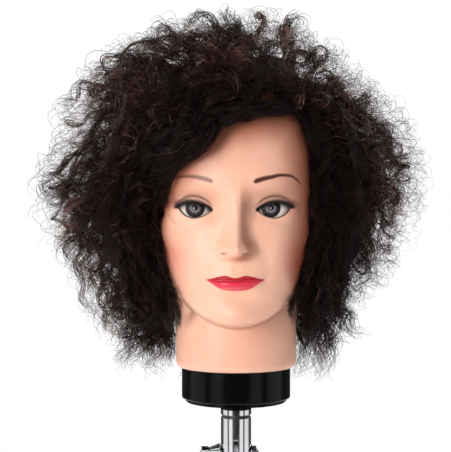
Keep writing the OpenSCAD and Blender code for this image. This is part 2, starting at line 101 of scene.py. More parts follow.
def bell(x, middle, wide):
    """A smooth hill of height 1 at the middle."""
    return np.exp(-(((x - middle) / wide) ** 2))


def bump(x, h, at_x, at_h, wide, high, power=2.0):
    """A smooth hill of height 1 at (at_x, at_h)."""
    return np.exp(-np.abs((x - at_x) / wide) ** power - np.abs((h - at_h) / high) ** power)


def smooth_curve(x, points):
    """Smooth curve through (position, value) points, which doesn't swing past them."""
    knots, values = np.array(points, float).T
    step = np.diff(knots)
    slope = np.diff(values) / step
    tangent = np.zeros(len(knots))
    before, after = slope[:-1], slope[1:]
    rising = before * after > 0
    total = np.where(rising, before + after, 1.0)
    tangent[1:-1] = np.where(rising, 2 * before * after / total, 0.0)
    tangent[0], tangent[-1] = slope[0], slope[-1]
    x = np.clip(x, knots[0], knots[-1])
    i = np.clip(np.searchsorted(knots, x, "right") - 1, 0, len(knots) - 2)
    t = (x - knots[i]) / step[i]
    return (
        (2 * t**3 - 3 * t**2 + 1) * values[i]
        + (t**3 - 2 * t**2 + t) * step[i] * tangent[i]
        + (3 * t**2 - 2 * t**3) * values[i + 1]
        + (t**3 - t**2) * step[i] * tangent[i + 1]
    )


def smooth_max(a, b, blend):
    """The larger of a and b, rounded where they meet."""
    gap = limit(0.5 + 0.5 * (a - b) / blend)
    return mix(b, a, gap) + blend * gap * (1 - gap)


def make_piece(name, vertices, faces, body, material, colors=None, gloss=None, uv=None):
    """A mesh object from arrays, riding on a CAD body; colors, gloss and uv are one row a vertex."""
    mesh = bpy.data.meshes.new(name)
    faces = np.asarray(faces, np.int32)
    corners = faces.shape[1]
    mesh.vertices.add(len(vertices))
    mesh.vertices.foreach_set("co", np.asarray(vertices, np.float32).ravel())
    mesh.loops.add(faces.size)
    mesh.loops.foreach_set("vertex_index", faces.ravel())
    mesh.polygons.add(len(faces))
    mesh.polygons.foreach_set("loop_start", np.arange(0, faces.size, corners, dtype=np.int32))
    mesh.polygons.foreach_set("use_smooth", np.ones(len(faces), bool))
    if uv is not None:
        by_corner = np.asarray(uv, np.float32)[faces.ravel()]
        mesh.uv_layers.new(name="OFBake").data.foreach_set("uv", by_corner.ravel())
    if colors is not None:
        rgba = np.concatenate([colors, np.ones((len(colors), 1))], axis=1).astype(np.float32)
        mesh.color_attributes.new("paint", "FLOAT_COLOR", "POINT").data.foreach_set("color", rgba.ravel())
    if gloss is not None:
        values = np.asarray(gloss, np.float32)
        mesh.attributes.new("gloss", "FLOAT", "POINT").data.foreach_set("value", values)
    mesh.update(calc_edges=True)
    mesh.validate()
    mesh.materials.append(material)
    piece = bpy.data.objects.new(name, mesh)
    bpy.context.scene.collection.objects.link(piece)
    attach(piece, body)
    return piece


def grid_faces(rows, columns, wrap=False):
    """Quads between rows of points, first row to last; wrap joins each row's ends."""
    across = np.arange(columns if wrap else columns - 1)
    following = (across + 1) % columns
    low = np.arange(rows - 1)[:, None] * columns
    corners = (low + across, low + following, low + columns + following, low + columns + across)
    return np.stack(corners, axis=-1).reshape(-1, 4)


# ---- materials

class Nodes:
    """Short hand for building one node tree."""

    def __init__(self, tree):
        self.tree = tree

    def feed(self, node, **inputs):
        """Link each input to an output, or give it a value."""
        for name, value in inputs.items():
            socket = node.inputs[name.replace("_", " ")]
            if isinstance(value, bpy.types.NodeSocket):
                self.tree.links.new(value, socket)
            else:
                socket.default_value = value

    def add(self, kind, output, settings=(), **inputs):
        """A new node's output, after its settings and inputs are made."""
        node = self.tree.nodes.new("ShaderNode" + kind)
        for key, value in settings:
            setattr(node, key, value)
        self.feed(node, **inputs)
        return node.outputs[output]

    def ramp(self, source, stops):
        """Colours at places from 0 to 1 of a source."""
        node = self.tree.nodes.new("ShaderNodeValToRGB")
        elements = node.color_ramp.elements
        while len(elements) < len(stops):
            elements.new(0.5)
        for element, (position, color) in zip(elements, stops):
            element.position = position
            element.color = (*color, 1)
        self.feed(node, Fac=source)
        return node.outputs["Color"]


class Surface(Nodes):
    """Short hand for building one material."""

    def __init__(self, name, **values):
        self.material = bpy.data.materials.new(name)
        self.material.use_nodes = True
        super().__init__(self.material.node_tree)
        self.shader = self.tree.nodes["Principled BSDF"]
        self.feed(self.shader, **values)

    def noise(self, scale, detail=3, stretch=None):
        place = self.add("TexCoord", "Object")
        if stretch:
            place = self.add("Mapping", "Vector", Vector=place, Scale=stretch)
        return self.add("TexNoise", "Fac", Vector=place, Scale=scale, Detail=detail)

    def mesh_value(self, name, output):
        return self.add("Attribute", output, [("attribute_name", name)])

    def multiplied(self, first, second):
        """Base colour from two colours multiplied."""
        how = [("blend_type", "MULTIPLY")]
        product = self.add("MixRGB", "Color", how, Fac=1, Color1=first, Color2=second)
        self.feed(self.shader, Base_Color=product)

    def roughness(self, source, low, high):
        value = self.add("MapRange", "Result", Value=source, To_Min=low, To_Max=high)
        self.feed(self.shader, Roughness=value)

    def relief(self, noise, depth, strength=1):
        """Fine relief from a noise, its depth in metres."""
        normal = self.add("Bump", "Normal", Height=self.noise(*noise), Distance=depth, Strength=strength)
        self.feed(self.shader, Normal=normal)


def vinyl_skin():
    """Soft vinyl: painted colour from the mesh, faint mottling and a fine moulded grain."""
    n = Surface("vinyl_skin", Specular_IOR_Level=0.38)
    n.feed(n.shader, Subsurface_Weight=0.3, Subsurface_Scale=0.004, Subsurface_Radius=(1, 0.45, 0.25))
    mottle = n.ramp(n.noise(45, 4), [(0.3, (0.93, 0.91, 0.9)), (0.7, (1, 1, 1))])
    n.multiplied(n.mesh_value("paint", "Color"), mottle)
    n.roughness(n.mesh_value("gloss", "Fac"), 0.46, 0.2)
    n.relief((900, 2), 0.00012, 0.5)
    return n.material


def eye_gloss():
    """Painted eye: satin white, and a glossy dome over the iris."""
    n = Surface("eye_gloss", Specular_IOR_Level=0.27)
    veins = n.ramp(n.noise(260, 5), [(0.35, (0.94, 0.92, 0.92)), (0.6, (1, 1, 1))])
    n.multiplied(n.mesh_value("paint", "Color"), veins)
    n.roughness(n.mesh_value("gloss", "Fac"), 0.6, 0.03)
    return n.material


def plain_material(name, noise, stops, rough=None, relief=None, **values):
    """Tones over a noise; rough is a noise, low and high, and relief a noise, depth and strength."""
    n = Surface(name, **values)
    n.feed(n.shader, Base_Color=n.ramp(n.noise(*noise), stops))
    if rough:
        n.roughness(n.noise(*rough[0]), *rough[1:])
    if relief:
        n.relief(*relief)
    return n.material


def lash_black():
    stops = [(0.3, srgb(20, 11, 10)), (0.7, srgb(34, 20, 18))]
    return plain_material("lash_black", (500,), stops, Roughness=0.6, Specular_IOR_Level=0.2)


def curly_hair():
    """Dark brown hair: u is each strand's tone, painted shade and highlights included, and v lightens from
    root to tip.
    """
    n = Surface("curly_hair", Roughness=0.38, Specular_IOR_Level=0.24, Specular_Tint=(1, 0.7, 0.67, 1))
    uv = n.add("UVMap", "UV", [("uv_map", "OFBake")])
    tone = n.ramp(n.add("SeparateXYZ", "X", Vector=uv), [
        (0, srgb(8, 3, 3)), (0.4, srgb(30, 14, 12)), (0.75, srgb(70, 43, 38)), (1, srgb(138, 102, 92)),
    ])
    fade = n.ramp(n.add("SeparateXYZ", "Y", Vector=uv), [
        (0, (0.35, 0.33, 0.33)), (0.55, (0.8, 0.78, 0.78)), (1, (1.45, 1.3, 1.24)),
    ])
    n.multiplied(tone, fade)
    return n.material


def hair_shadow():
    return plain_material(
        "hair_shadow", (130, 6), [(0.35, srgb(10, 6, 6)), (0.75, srgb(30, 18, 15))],
        relief=((160, 6, (1, 1, 0.4)), 0.004), Roughness=0.7, Specular_IOR_Level=0.2)


def polished_chrome():
    return plain_material(
        "polished_chrome", (60, 4), [(0.3, (0.72, 0.73, 0.75)), (0.7, (0.84, 0.85, 0.87))],
        rough=((220, 5, (1, 1, 0.15)), 0.05, 0.16), Metallic=1)


def turned_steel(name, light, dark):
    return plain_material(
        name, (90, 5, (1, 1, 6)), [(0.3, dark), (0.7, light)],
        rough=((300, 4, (1, 1, 8)), 0.25, 0.45), Metallic=1)


def black_lacquer():
    """Glossy black plastic with faint moulding waves and handling haze."""
    return plain_material(
        "black_lacquer", (35, 4), [(0.3, srgb(5, 5, 6)), (0.75, srgb(11, 11, 13))],
        rough=((70, 6), 0.06, 0.2), relief=((28, 2), 0.0004, 0.35), Specular_IOR_Level=0.12)


def satin_plastic():
    return plain_material(
        "satin_plastic", (80, 4), [(0.3, srgb(22, 22, 24)), (0.7, srgb(36, 36, 39))],
        rough=((150, 4), 0.32, 0.5), relief=((1400, 2), 0.0001, 0.6))


def black_rubber():
    return plain_material(
        "black_rubber", (120, 5), [(0.3, srgb(18, 18, 18)), (0.75, srgb(38, 37, 36))],
        relief=((900, 3), 0.0003, 0.8), Roughness=0.8)


def clamp_paint():
    """Dark hammered enamel, chipped lighter here and there."""
    stops = [(0.3, srgb(28, 30, 33)), (0.66, srgb(44, 46, 50)), (0.74, srgb(92, 92, 94))]
    return plain_material(
        "clamp_paint", (55, 7), stops, rough=((90, 4), 0.25, 0.5),
        relief=((420, 2), 0.0005, 0.5), Metallic=0.25, Coat_Weight=0.3, Coat_Roughness=0.2)


def pale_foam():
    return plain_material(
        "pale_foam", (300, 6), [(0.3, srgb(196, 176, 128)), (0.7, srgb(226, 208, 160))],
        relief=((700, 3), 0.0006, 0.9), Roughness=0.95)


def floor_white():
    return plain_material(
        "studio_floor", (3, 2), [(0.3, (0.86, 0.86, 0.86)), (0.7, (0.9, 0.9, 0.9))], Roughness=0.9)


# ---- the head's surface

# Half width and front and back reach by height; above DOME_FROM they follow a dome to the crown
DOME_FROM = 185.0
NECK_RADIUS = 53.5
FACE_FROM = 40.0        # height from which the face is in front of the neck
FACE_FULLNESS = 0.82    # below 1 the face is flatter in front and turns faster at its sides
HALF_WIDTH = [
    (0, 53.5), (35, 53.6), (50, 55), (62, 57), (76, 60.5), (92, 65), (112, 70), (132, 73.6), (152, 75.8),
    (170, 76.8), (185, 77)]
FACE_FRONT = [
    (30, 76), (42, 82), (52, 86), (66, 85.5), (80, 86), (95, 85.5), (110, 84), (125, 83), (140, 85),
    (155, 90), (170, 92), (185, 92)]
HEAD_BACK = [(0, 53.5), (20, 53.5), (45, 56), (70, 65), (100, 81), (130, 93), (160, 100), (185, 101)]

# Eye openings: x of the inner and outer corner, the iris centre, and the side that the eye is on
EYES = {
    "left": {"inner": -20.4, "outer": -49.2, "iris": -34.6, "body": -1},
    "right": {"inner": 16.2, "outer": 45.4, "iris": 28.2, "body": 1},
}
EYE_H = 138.6
EYE_RADIUS = 17.0
EYE_FLATNESS = 0.8      # how much of a ball's fall the eye has towards its corners
EYE_DEPTH = -57.6       # y of the eyeballs' centres
EYE_PATCH = 17.5        # radius of the part of the ball that is made
LID_THICKNESS = 1.4
LID_FOLD = 5.4          # greatest height of the fold above the upper lid's edge
IRIS_RADIUS = 8.1
PUPIL_H = 140.4
CORNEA_RADIUS = 5.6
CORNEA_HEIGHT = 1.4
CORNEA_SHIFT = 1.9      # to the viewer's right of the iris, which puts the highlight in the pupil
INNER_CORNER_H = 138.8
OUTER_CORNER_H = 141.7
# Height of each lid's edge from the line between the corners, by share of the way to the outer one
UPPER_LID = [(0, 0), (0.1, 1.8), (0.25, 3.5), (0.45, 4.3), (0.65, 4.0), (0.82, 2.7), (0.94, 1.1), (1, 0)]
LOWER_LID = [(0, 0), (0.1, 2.8), (0.3, 6.3), (0.55, 8.3), (0.78, 6.8), (0.92, 3.4), (1, 0)]

# Nose: height and width of its ridge by h, and where the shadow on its right flank starts and ends
NOSE_X = -0.4
RIDGE_HEIGHT = [
    (93, 0), (96, 2), (98.5, 6), (101, 10), (104, 13), (108, 15.5), (113, 16.6), (120, 15), (130, 10.8),
    (140, 7), (148, 4), (156, 1.6), (166, 0)]
RIDGE_WIDTH = [
    (93, 8), (98, 8.6), (103, 9.4), (109, 9.2), (116, 8.2), (126, 7.4), (136, 7.6), (148, 9.5), (166, 12)]
NOSE_SHADE_START = [(96, -5), (100, 1), (104, 6), (108, 5), (114, 1.6), (166, 1.2)]
NOSE_SHADE_END = [(96, 10), (104, 16), (110, 15), (118, 11.5), (134, 9.4), (147, 11), (166, 14)]
NOSTRIL_X = -2.4        # middle between the nostrils
NOSTRIL_OUT = 8.8       # each one's distance from it
NOSTRIL_H = 102.6

# Mouth outlines, by distance from its middle
MOUTH_X = -1.3
LIP_HALF = 24.0
UPPER_LIP_EDGE = [(0, 82.7), (3.5, 83.4), (8.2, 84.6), (14, 83.7), (19, 82.4), (24.0, 81.2)]
MOUTH_SEAM = [(0, 80.6), (6, 81.2), (14, 80.9), (24.0, 81.1)]
LOWER_LIP_EDGE = [(0, 72.3), (8, 72.8), (13.5, 74.4), (19.0, 77.8), (24.0, 81.0)]

# Soft shapes on both sides of the face: height, or depth below 0, and the bump's place, size and power
FACE_SHAPES = [
    (4.5, 0, 53, 15, 9, 2.2),       # chin
    (-2.6, 0, 67, 15, 4.2),         # hollow over the chin
    (3.4, 37, 111, 15, 17),         # cheekbones
    (1.6, 28, 158, 17, 7),          # brow bones
    (-1.6, 62, 158, 9, 20),         # temples
    (-0.8, 25, 92, 5, 11),          # beside the mouth
]


def eye_middle(eye):
    return (eye["inner"] + eye["outer"]) / 2


def eye_share(x, eye):
    """0 at the eye's inner corner and 1 at its outer corner."""
    return (x - eye["inner"]) / (eye["outer"] - eye["inner"])


def corner_line(share):
    return mix(INNER_CORNER_H, OUTER_CORNER_H, limit(share))


def upper_margin(share):
    return corner_line(share) + smooth_curve(share, UPPER_LID)


def lower_margin(share):
    return corner_line(share) - smooth_curve(share, LOWER_LID)


def lid_fold(share):
    """Height of the fold over the eye, which runs closer to the lid's edge at both corners."""
    return upper_margin(share) + LID_FOLD * (0.7 + 0.3 * np.sin(math.pi * limit(share)))


def dome(h):
    return np.sqrt(limit(1 - ((h - DOME_FROM) / (head_height - DOME_FROM)) ** 2))


def profile(h, points):
    """A reach of the head at height h: from the points below the dome, then along the dome."""
    return np.where(h <= DOME_FROM, smooth_curve(h, points), points[-1][1] * dome(np.maximum(h, DOME_FROM)))


def head_reach(h, y):
    """Half width of the head at heights h, and how far it reaches on y's side of the post's axis."""
    front = np.where(h > FACE_FROM, profile(h, FACE_FRONT), NECK_RADIUS)
    return profile(h, HALF_WIDTH), np.where(y < 0, front, profile(h, HEAD_BACK))


def nose_relief(x, h):
    side = np.abs(x - NOSE_X)
    ridge = smooth_curve(h, RIDGE_HEIGHT) * np.exp(-(side / smooth_curve(h, RIDGE_WIDTH)) ** 1.8)
    tip = 7.0 * bump(x, h, NOSE_X + 1.2, 105, 8.8, 6.6)
    wings = 5.0 * bump(side, h, 11.2, 106.4, 4.6, 5.4, 2.2)
    crease = 0.9 * bump(side, h, 17.2, 106.5, 2.4, 5.0)
    nostril = 2.2 * bump(np.abs(x - NOSTRIL_X), h, NOSTRIL_OUT, NOSTRIL_H, 3.0, 1.6, 2.2)
    return ridge + tip + wings - crease - nostril


def lip_lines(x):
    """Heights of the upper lip's edge, the seam and the lower lip's edge, and distance from the middle."""
    side = np.abs(x - MOUTH_X)
    reach = np.minimum(side, LIP_HALF)
    return (*(smooth_curve(reach, line) for line in (UPPER_LIP_EDGE, MOUTH_SEAM, LOWER_LIP_EDGE)), side)


def mouth_relief(x, h):
    upper, seam, lower, side = lip_lines(x)
    fade = np.sqrt(limit(1 - (side / LIP_HALF) ** 2))
    up = limit((h - seam) / np.maximum(upper - seam, 0.4))
    down = limit((seam - h) / np.maximum(seam - lower, 0.4))
    lips = 2.6 * np.sin(math.pi * up**0.8) + 3.8 * np.sin(math.pi * down**0.8)
    groove = 0.8 * bell(h, seam, 0.8) * fade
    mound = 4.2 * bump(x, h, MOUTH_X, 81, 25, 16)
    philtrum = 0.4 * bump(x, h, 0, 90, 2.6, 4.5) - 0.25 * bump(np.abs(x), h, 4.8, 90, 2.0, 4.5)
    corners = 0.8 * bump(side, h, 25.5, 81, 3.4, 3.4)
    return lips * fade + mound - groove - philtrum - corners


def face_relief(x, h):
    """How far the face stands out in front of the plain head, by features."""
    relief = nose_relief(x, h) + mouth_relief(x, h)
    for height, *shape in FACE_SHAPES:
        relief += height * bump(np.abs(x), h, *shape)
    for eye in EYES.values():
        relief -= 7.5 * bump(x, h, eye_middle(eye), 141.5, 18.5, 11.5, 2.6)
        relief -= 4.6 * bump(x, h, eye["inner"] - 2.0 * eye["body"], 139, 6.0, 9)
    return relief


def ball_square(x, h, middle, radius):
    """Square of how far an eyeball reaches forward of its centre; below 0 outside it."""
    return radius**2 - (EYE_FLATNESS * (x - middle)) ** 2 - (h - EYE_H) ** 2


def lid_surface(x, h, eye):
    """Reach of the ball of skin that wraps one eye, or far behind the face beyond it."""
    inside = ball_square(x, h, eye_middle(eye), EYE_RADIUS + LID_THICKNESS)
    return np.where(inside > 0, -EYE_DEPTH + np.sqrt(np.maximum(inside, 0)), 0.0)


def jaw_edge(x):
    """Height at which the face ends and its underside turns back to the neck."""
    return 41.8 + 0.0099 * np.minimum(np.abs(x), 54) ** 2


def head_point(angle, h):
    """Points of the head's outer surface at angles from the face's middle, in radians, and heights."""
    sin, cos = np.sin(angle), np.cos(angle)
    width = profile(h, HALF_WIDTH)
    in_front = cos > 0
    x = width * sin
    jaw = jaw_edge(x)
    on_face = ease(h, jaw - 4.5, jaw + 3.0)
    face = profile(h, FACE_FRONT) * np.maximum(cos, 0) ** FACE_FULLNESS
    front = mix(NECK_RADIUS * cos, face, on_face)
    front = front + face_relief(x, h) * ease(cos, 0.1, 0.4) * on_face
    crease = 0
    for eye in EYES.values():
        front = np.where(in_front, smooth_max(front, lid_surface(x, h, eye), 4.0), front)
        share = eye_share(x, eye)
        along = ease(share, -0.04, 0.25) * ease(share, 1.16, 0.85)
        crease = crease + along * bell(h, lid_fold(share), 1.1)
    front = front - 1.0 * crease
    back = profile(h, HEAD_BACK) * cos
    y = np.where(in_front, -front, -back)
    return np.stack([x, y, h], axis=-1)


def in_eye_opening(x, h):
    """True inside either eye's opening."""
    inside = np.zeros(np.broadcast(x, h).shape, bool)
    for eye in EYES.values():
        share = eye_share(x, eye)
        inside |= (share > 0) & (share < 1) & (h < upper_margin(share)) & (h > lower_margin(share))
    return inside


def crowded(low, high, count, base, spots):
    """count values from low to high, closer together near the spots (place, reach, weight)."""
    fine = np.linspace(low, high, 4000)
    weight = np.full(len(fine), base)
    for place, reach, strength in spots:
        weight += strength * bell(fine, place, reach)
    total = np.concatenate([[0], np.cumsum((weight[1:] + weight[:-1]) / 2)])
    return np.interp(np.linspace(0, total[-1], count), total, fine)


# Outline of the face and neck that the hair leaves free, seen from the front
FACE_WINDOW = np.array([
    (45, 217), (20, 215), (6, 211), (-12, 206.5), (-18, 197), (-23, 188.5), (-33, 181), (-43, 174),
    (-51, 168), (-56, 160), (-59, 145), (-65, 131), (-66, 119), (-62, 104), (-61.5, 90), (-61, 74),
    (-59.5, 60), (-57.5, 40), (-55, 10), (-54, -70), (54, -70), (55, 10), (54, 40), (52, 62), (52, 80),
    (56, 98), (61, 115), (62, 140), (62, 170), (60, 194), (54, 210)], float)


def window_depth(x, h):
    """Signed distance into the face window (positive inside) and the nearest point of its outline."""
    p = np.stack([x, h], axis=-1)[..., None, :]
    a, b = FACE_WINDOW, np.roll(FACE_WINDOW, -1, axis=0)
    edge = b - a
    t = limit(((p - a) * edge).sum(-1) / (edge**2).sum(-1))
    near = a + t[..., None] * edge
    gap = np.linalg.norm(p - near, axis=-1)
    best = gap.argmin(-1)
    distance = np.take_along_axis(gap, best[..., None], -1)[..., 0]
    nearest = np.take_along_axis(near, best[..., None, None], -2)[..., 0, :]
    px, ph = p[..., 0], p[..., 1]
    crosses = ((a[:, 1] > ph) != (b[:, 1] > ph)) & (
        px < edge[:, 0] * (ph - a[:, 1]) / (edge[:, 1] + 1e-9) + a[:, 0])
    inside = crosses.sum(-1) % 2 == 1
    return np.where(inside, distance, -distance), nearest


def painted_hair_shade(x, h):
    """Painted shadow of the hair on the vinyl beside it: wide under the fringe, narrow at the left cheek.
    """
    depth, _ = window_depth(x, h)
    width = 4.6 + 5 * ease(h, 138, 158) + 5 * ease(h, 170, 205)
    width = width + 8 * ease(x, 15, 50) * ease(h, 70, 100)
    amount = np.exp(-(np.maximum(depth, 0) / width) ** 1.5) * ease(h, 52, 74)
    return np.exp(-np.array([1.25, 1.9, 2.2]) * 0.85 * amount[..., None])


SKIN = srgb(236, 182, 158)
SKIN_PALE = srgb(241, 189, 163)
SKIN_BLUSH = srgb(224, 132, 118)
EYE_HOLE = srgb(232, 190, 178)
JAW_SHADE = srgb(168, 106, 84)
NOSE_SHADE = srgb(142, 66, 42)
NOSTRIL_SHADE = srgb(112, 58, 46)
LID = srgb(198, 158, 138)
LID_CORNER = srgb(120, 62, 50)
LID_CREASE = srgb(100, 56, 42)
LINER = srgb(30, 15, 13)
BROW = srgb(74, 24, 10)
LIP_UPPER = srgb(178, 18, 44)
LIP_LOWER = srgb(217, 46, 72)
LIP_SEAM = srgb(160, 10, 44)
LIP_HIGHLIGHT = srgb(246, 150, 164)
SOCKET_SHADE = np.array([0.78, 0.745, 0.72])
NECK_SHADE = np.array([0.95, 0.93, 0.92])
# Each brow: inner and outer end, how dark it is, and its line by share of its length
BROWS = [
    (13.4, 54.8, 1.0, [
        (0, 161.2), (0.21, 163.9), (0.34, 165.1), (0.58, 167.1), (0.75, 166.7), (0.9, 162.9), (1, 158.6)]),
    (-19.6, -57.0, 0.74, [
        (0, 161.6), (0.21, 164.0), (0.39, 165.6), (0.62, 166.2), (0.83, 165.2), (1, 162)]),
]
BROW_THICKNESS = [(0, 1.3), (0.08, 2.2), (0.3, 1.9), (0.6, 1.35), (0.88, 1.2), (1, 0.4)]


def brow_mask(x, h):
    """Painted brows: thin arches, thicker and streaked at their inner ends."""
    mask = 0
    for inner, outer, dark, points in BROWS:
        share = (x - inner) / (outer - inner)
        streak = 0.3 * np.sin(2.3 * x + 2.1 * h) * ease(share, 0.5, 0.1)
        thick = smooth_curve(share, BROW_THICKNESS) + streak
        across = np.abs(h - smooth_curve(share, points)) / np.maximum(thick, 0.2)
        inside = ease(share, -0.02, 0.03) * ease(share, 1.01, 0.93)
        mask = mask + dark * inside * ease(across, 1.35, 0.5)
    return limit(mask)


def skin_tone(x, h):
    """The vinyl's colour, blushed on the cheeks, with painted shade in the eye sockets, low on the neck and
    beside the hair.
    """
    cheek = bump(np.abs(x), h, 55, 96, 14, 20)
    cheek = cheek + 0.25 * bump(x, h, 0, 104, 12, 8) + 0.15 * bump(x, h, 0, 52, 14, 8)
    color = mix(SKIN, SKIN_PALE, bump(x, h, -12, 110, 40, 55)[..., None])
    color = mix(color, SKIN_BLUSH, 0.6 * limit(cheek)[..., None])
    # Painted shade in the eye sockets under the brows.
    socket_shade = sum(bump(x, h, eye_middle(eye), 150, 19, 8) for eye in EYES.values())
    color = color * mix(1.0, SOCKET_SHADE, limit(socket_shade)[..., None])
    # Painted shade low on the neck, under the chin.
    color = color * mix(1.0, NECK_SHADE, ease(h, 48, 30)[..., None])
    # Painted shadow of the hair beside the face.
    return color * painted_hair_shade(x, h)


def jaw_layers(x, h):
    """Shadow in the fold under the jaw, and on the neck below it."""
    below = jaw_edge(x) - h
    line = bell(below, 3.2, 1.6) * mix(0.4, 1.0, ease(x, -45, 15))
    shade = ease(below, 0, 5) * ease(below, 34, 5) * ease(x, -15, 40)
    return [(JAW_SHADE, 0.6 * limit(line + 0.5 * shade) * ease(np.abs(x), 58, 50))]


def nose_layers(x, h):
    """Shadow on the nose's right flank and under its tip."""
    past_start = ease(x - smooth_curve(h, NOSE_SHADE_START), 0, 3.4)
    before_end = ease(x - smooth_curve(h, NOSE_SHADE_END), 5.0, -5.5)
    flank = past_start * before_end * ease(h, 95, 102) * ease(h, 168, 138)
    return [(NOSE_SHADE, 0.64 * limit(flank + 0.8 * bump(x, h, 2, 98.4, 9, 2.4)))]


def eye_layers(x, h):
    """Each upper lid with its fold and its darker corner, and the line drawn round the eye."""
    lid, corner, fold, liner = 0, 0, 0, 0
    for eye in EYES.values():
        share = eye_share(x, eye)
        above = h - upper_margin(share)
        under = lower_margin(share) - h
        over_fold = h - lid_fold(share)
        along = ease(share, -0.1, 0.12) * ease(share, 1.2, 0.95)
        fold = fold + along * bell(over_fold, 0, 1.2)
        lid = lid + along * (above > 0) * ease(over_fold, 0, -1.5)
        corner = corner + 0.5 * bump(x, h, eye["outer"] + eye["body"], 143, 5.5, 4.0)
        band = 1.5 + 1.6 * ease(share, 0.1, 0.6)
        upper_line = ease(above, band + 1.7, band * 0.3) * (above > -2)
        lower_line = 0.75 * bell(under, 0.2, 0.8)
        opening = ease(share, -0.05, 0.03) * ease(share, 1.16, 1.02)
        liner = liner + opening * (upper_line + lower_line)
    return [
        (LID, 0.65 * limit(lid)),
        (LID_CORNER, limit(corner)),
        (LID_CREASE, 0.85 * limit(fold)),
        (LINER, limit(liner)),
    ]


def lip_layers(x, h):
    """Upper and lower lip, the dark line between them, and a painted highlight on the lower one."""
    upper, seam, lower, off = lip_lines(x)
    within = ease(off, LIP_HALF + 0.5, LIP_HALF - 0.6)
    upper_lip = within * ease(h, upper + 0.5, upper - 0.4) * ease(h, seam - 0.5, seam + 0.5)
    lower_lip = within * ease(h, lower - 0.5, lower + 0.4) * ease(h, seam + 0.5, seam - 0.5)
    parting = within * bell(h, seam, 0.6) * (0.35 + 0.65 * ease(off, 10, 20))
    # Painted highlight along the lower lip, a little left of its middle.
    painted_highlight = within * bump(x, h, MOUTH_X - 3, 74.4, 11, 0.8) * ease(h, lower, lower + 0.8)
    lines = [(LIP_SEAM, 0.6 * parting), (LIP_HIGHLIGHT, 0.5 * painted_highlight)]
    return [(LIP_UPPER, upper_lip), (LIP_LOWER, lower_lip)] + lines


def skin_paint(x, h, in_front):
    """Colour and gloss painted on the vinyl at each point."""
    # Painted shade in the nostrils.
    nostril = bump(np.abs(x - NOSTRIL_X), h, NOSTRIL_OUT, NOSTRIL_H, 2.6, 1.1, 2.6)
    lips = lip_layers(x, h)
    layers = jaw_layers(x, h) + nose_layers(x, h) + eye_layers(x, h)
    layers += [(BROW, brow_mask(x, h)), (NOSTRIL_SHADE, 0.65 * nostril)] + lips
    color = skin_tone(x, h)
    for shade, amount in layers:
        color = mix(color, shade, (amount * in_front)[..., None])
    lip_area = lips[0][1] + lips[1][1]
    return color, limit(0.9 * lip_area) * in_front


def make_head_skin(material):
    """The vinyl head: a fine grid that crowds at the eyes, nose and mouth, with a rolled lower rim."""
    columns, rows = 330, 292
    angle = np.radians(crowded(-180, 180, columns + 1, 0.12, [(0, 42, 0.85)])[:-1])
    crowds = [(80, 9, 1.6), (100, 8, 1.2), (EYE_H, 10, 2.2), (163, 8, 0.8), (45, 10, 0.7)]
    height = crowded(0, head_height, rows, 0.5, crowds)
    a, h = np.meshgrid(angle, height)
    x = profile(h, HALF_WIDTH) * np.sin(a)
    in_front = np.cos(a) > 0
    row_gap = np.gradient(height)[:, None]
    for eye in EYES.values():
        share = eye_share(x, eye)
        across = in_front & (share > 0.0) & (share < 1.0)
        for edge in (upper_margin(share), lower_margin(share)):
            h = np.where(across & (np.abs(h - edge) < 0.5 * row_gap), edge, h)
    points = head_point(a, h)
    hole = in_front & in_eye_opening(points[..., 0], h)
    points[..., 1] = np.where(hole, EYE_DEPTH + 6, points[..., 1])
    color, gloss = skin_paint(points[..., 0], h, in_front)
    color = np.where((hole & (h < EYE_H))[..., None], EYE_HOLE, color)

    # The rim rolls under and runs up inside, where the drum fills it
    bore = (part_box("base_drum")[1].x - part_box("base_drum")[0].x) / 2 / MM + 0.4
    roll_in, roll_up = NECK_RADIUS - bore - 0.8, 6.0
    turns = np.radians(np.arange(90, 0, -15))
    rim = [(NECK_RADIUS - roll_in * (1 - math.cos(t)), roll_up * (1 - math.sin(t))) for t in turns]
    rings = [(bore, 20.0), (bore, 1.0), (bore + 0.3, 0.2)] + rim
    lead = np.array([[(r * math.sin(t), -r * math.cos(t), z) for t in angle] for r, z in rings])
    keep = height > roll_up
    grid = np.concatenate([lead, points[keep]])
    paint = np.concatenate([np.broadcast_to(SKIN, lead.shape), color[keep]])
    shine = np.concatenate([np.zeros(lead.shape[:2]), gloss[keep]])
    faces = grid_faces(len(grid), columns, wrap=True)
    piece = make_piece("vinyl_head", to_world(grid.reshape(-1, 3)), faces, "head", material,
                       colors=paint.reshape(-1, 3), gloss=shine.ravel())
    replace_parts(piece, "head_skin")


# ---- eyes and lashes

def ball_point(x, h, middle, extra=0.0):
    """Point on an eyeball, or a little in front of it."""
    reach = np.sqrt(np.maximum(ball_square(x, h, middle, EYE_RADIUS + extra), 4.0))
    return np.stack([x, EYE_DEPTH - reach, h], axis=-1)


def eye_color(eye, h, radius, turn):
    """Pupil, iris with its fibres and dark ring, and the white, with painted shade towards the white's
    edges and under the upper lid.
    """
    rng = np.random.default_rng(11 + eye["body"])
    waves = sum(rng.uniform(0.3, 1) * np.sin(k * turn + rng.uniform(0, 6.28)) for k in range(9, 60, 3))
    fibres = 0.5 + 0.5 * np.tanh(waves / 2.6)
    share = radius / IRIS_RADIUS
    # The white darkens towards the ball's edges: painted shade at the eye's corners.
    white = mix(srgb(206, 192, 186), srgb(132, 108, 102), ease(radius, 9, 15)[..., None])
    color = mix(srgb(80, 74, 82), srgb(140, 134, 144), (fibres * ease(share, 0.7, 0.3))[..., None])
    color = mix(color, srgb(20, 12, 13), ease(share, 0.44, 0.7)[..., None])
    color = mix(srgb(5, 4, 5), color, ease(share, 0.24, 0.32)[..., None])
    color = mix(color, white, ease(share, 0.96, 1.06)[..., None])
    # Painted shade under the upper lid, darkest at its edge and fading over some 5 mm below it.
    x = eye["iris"] + radius * np.cos(turn)
    edge = upper_margin(eye_share(x, eye))
    return color * mix(1.0, 0.12, ease(h, edge - 5.5, edge - 0.8))[..., None]


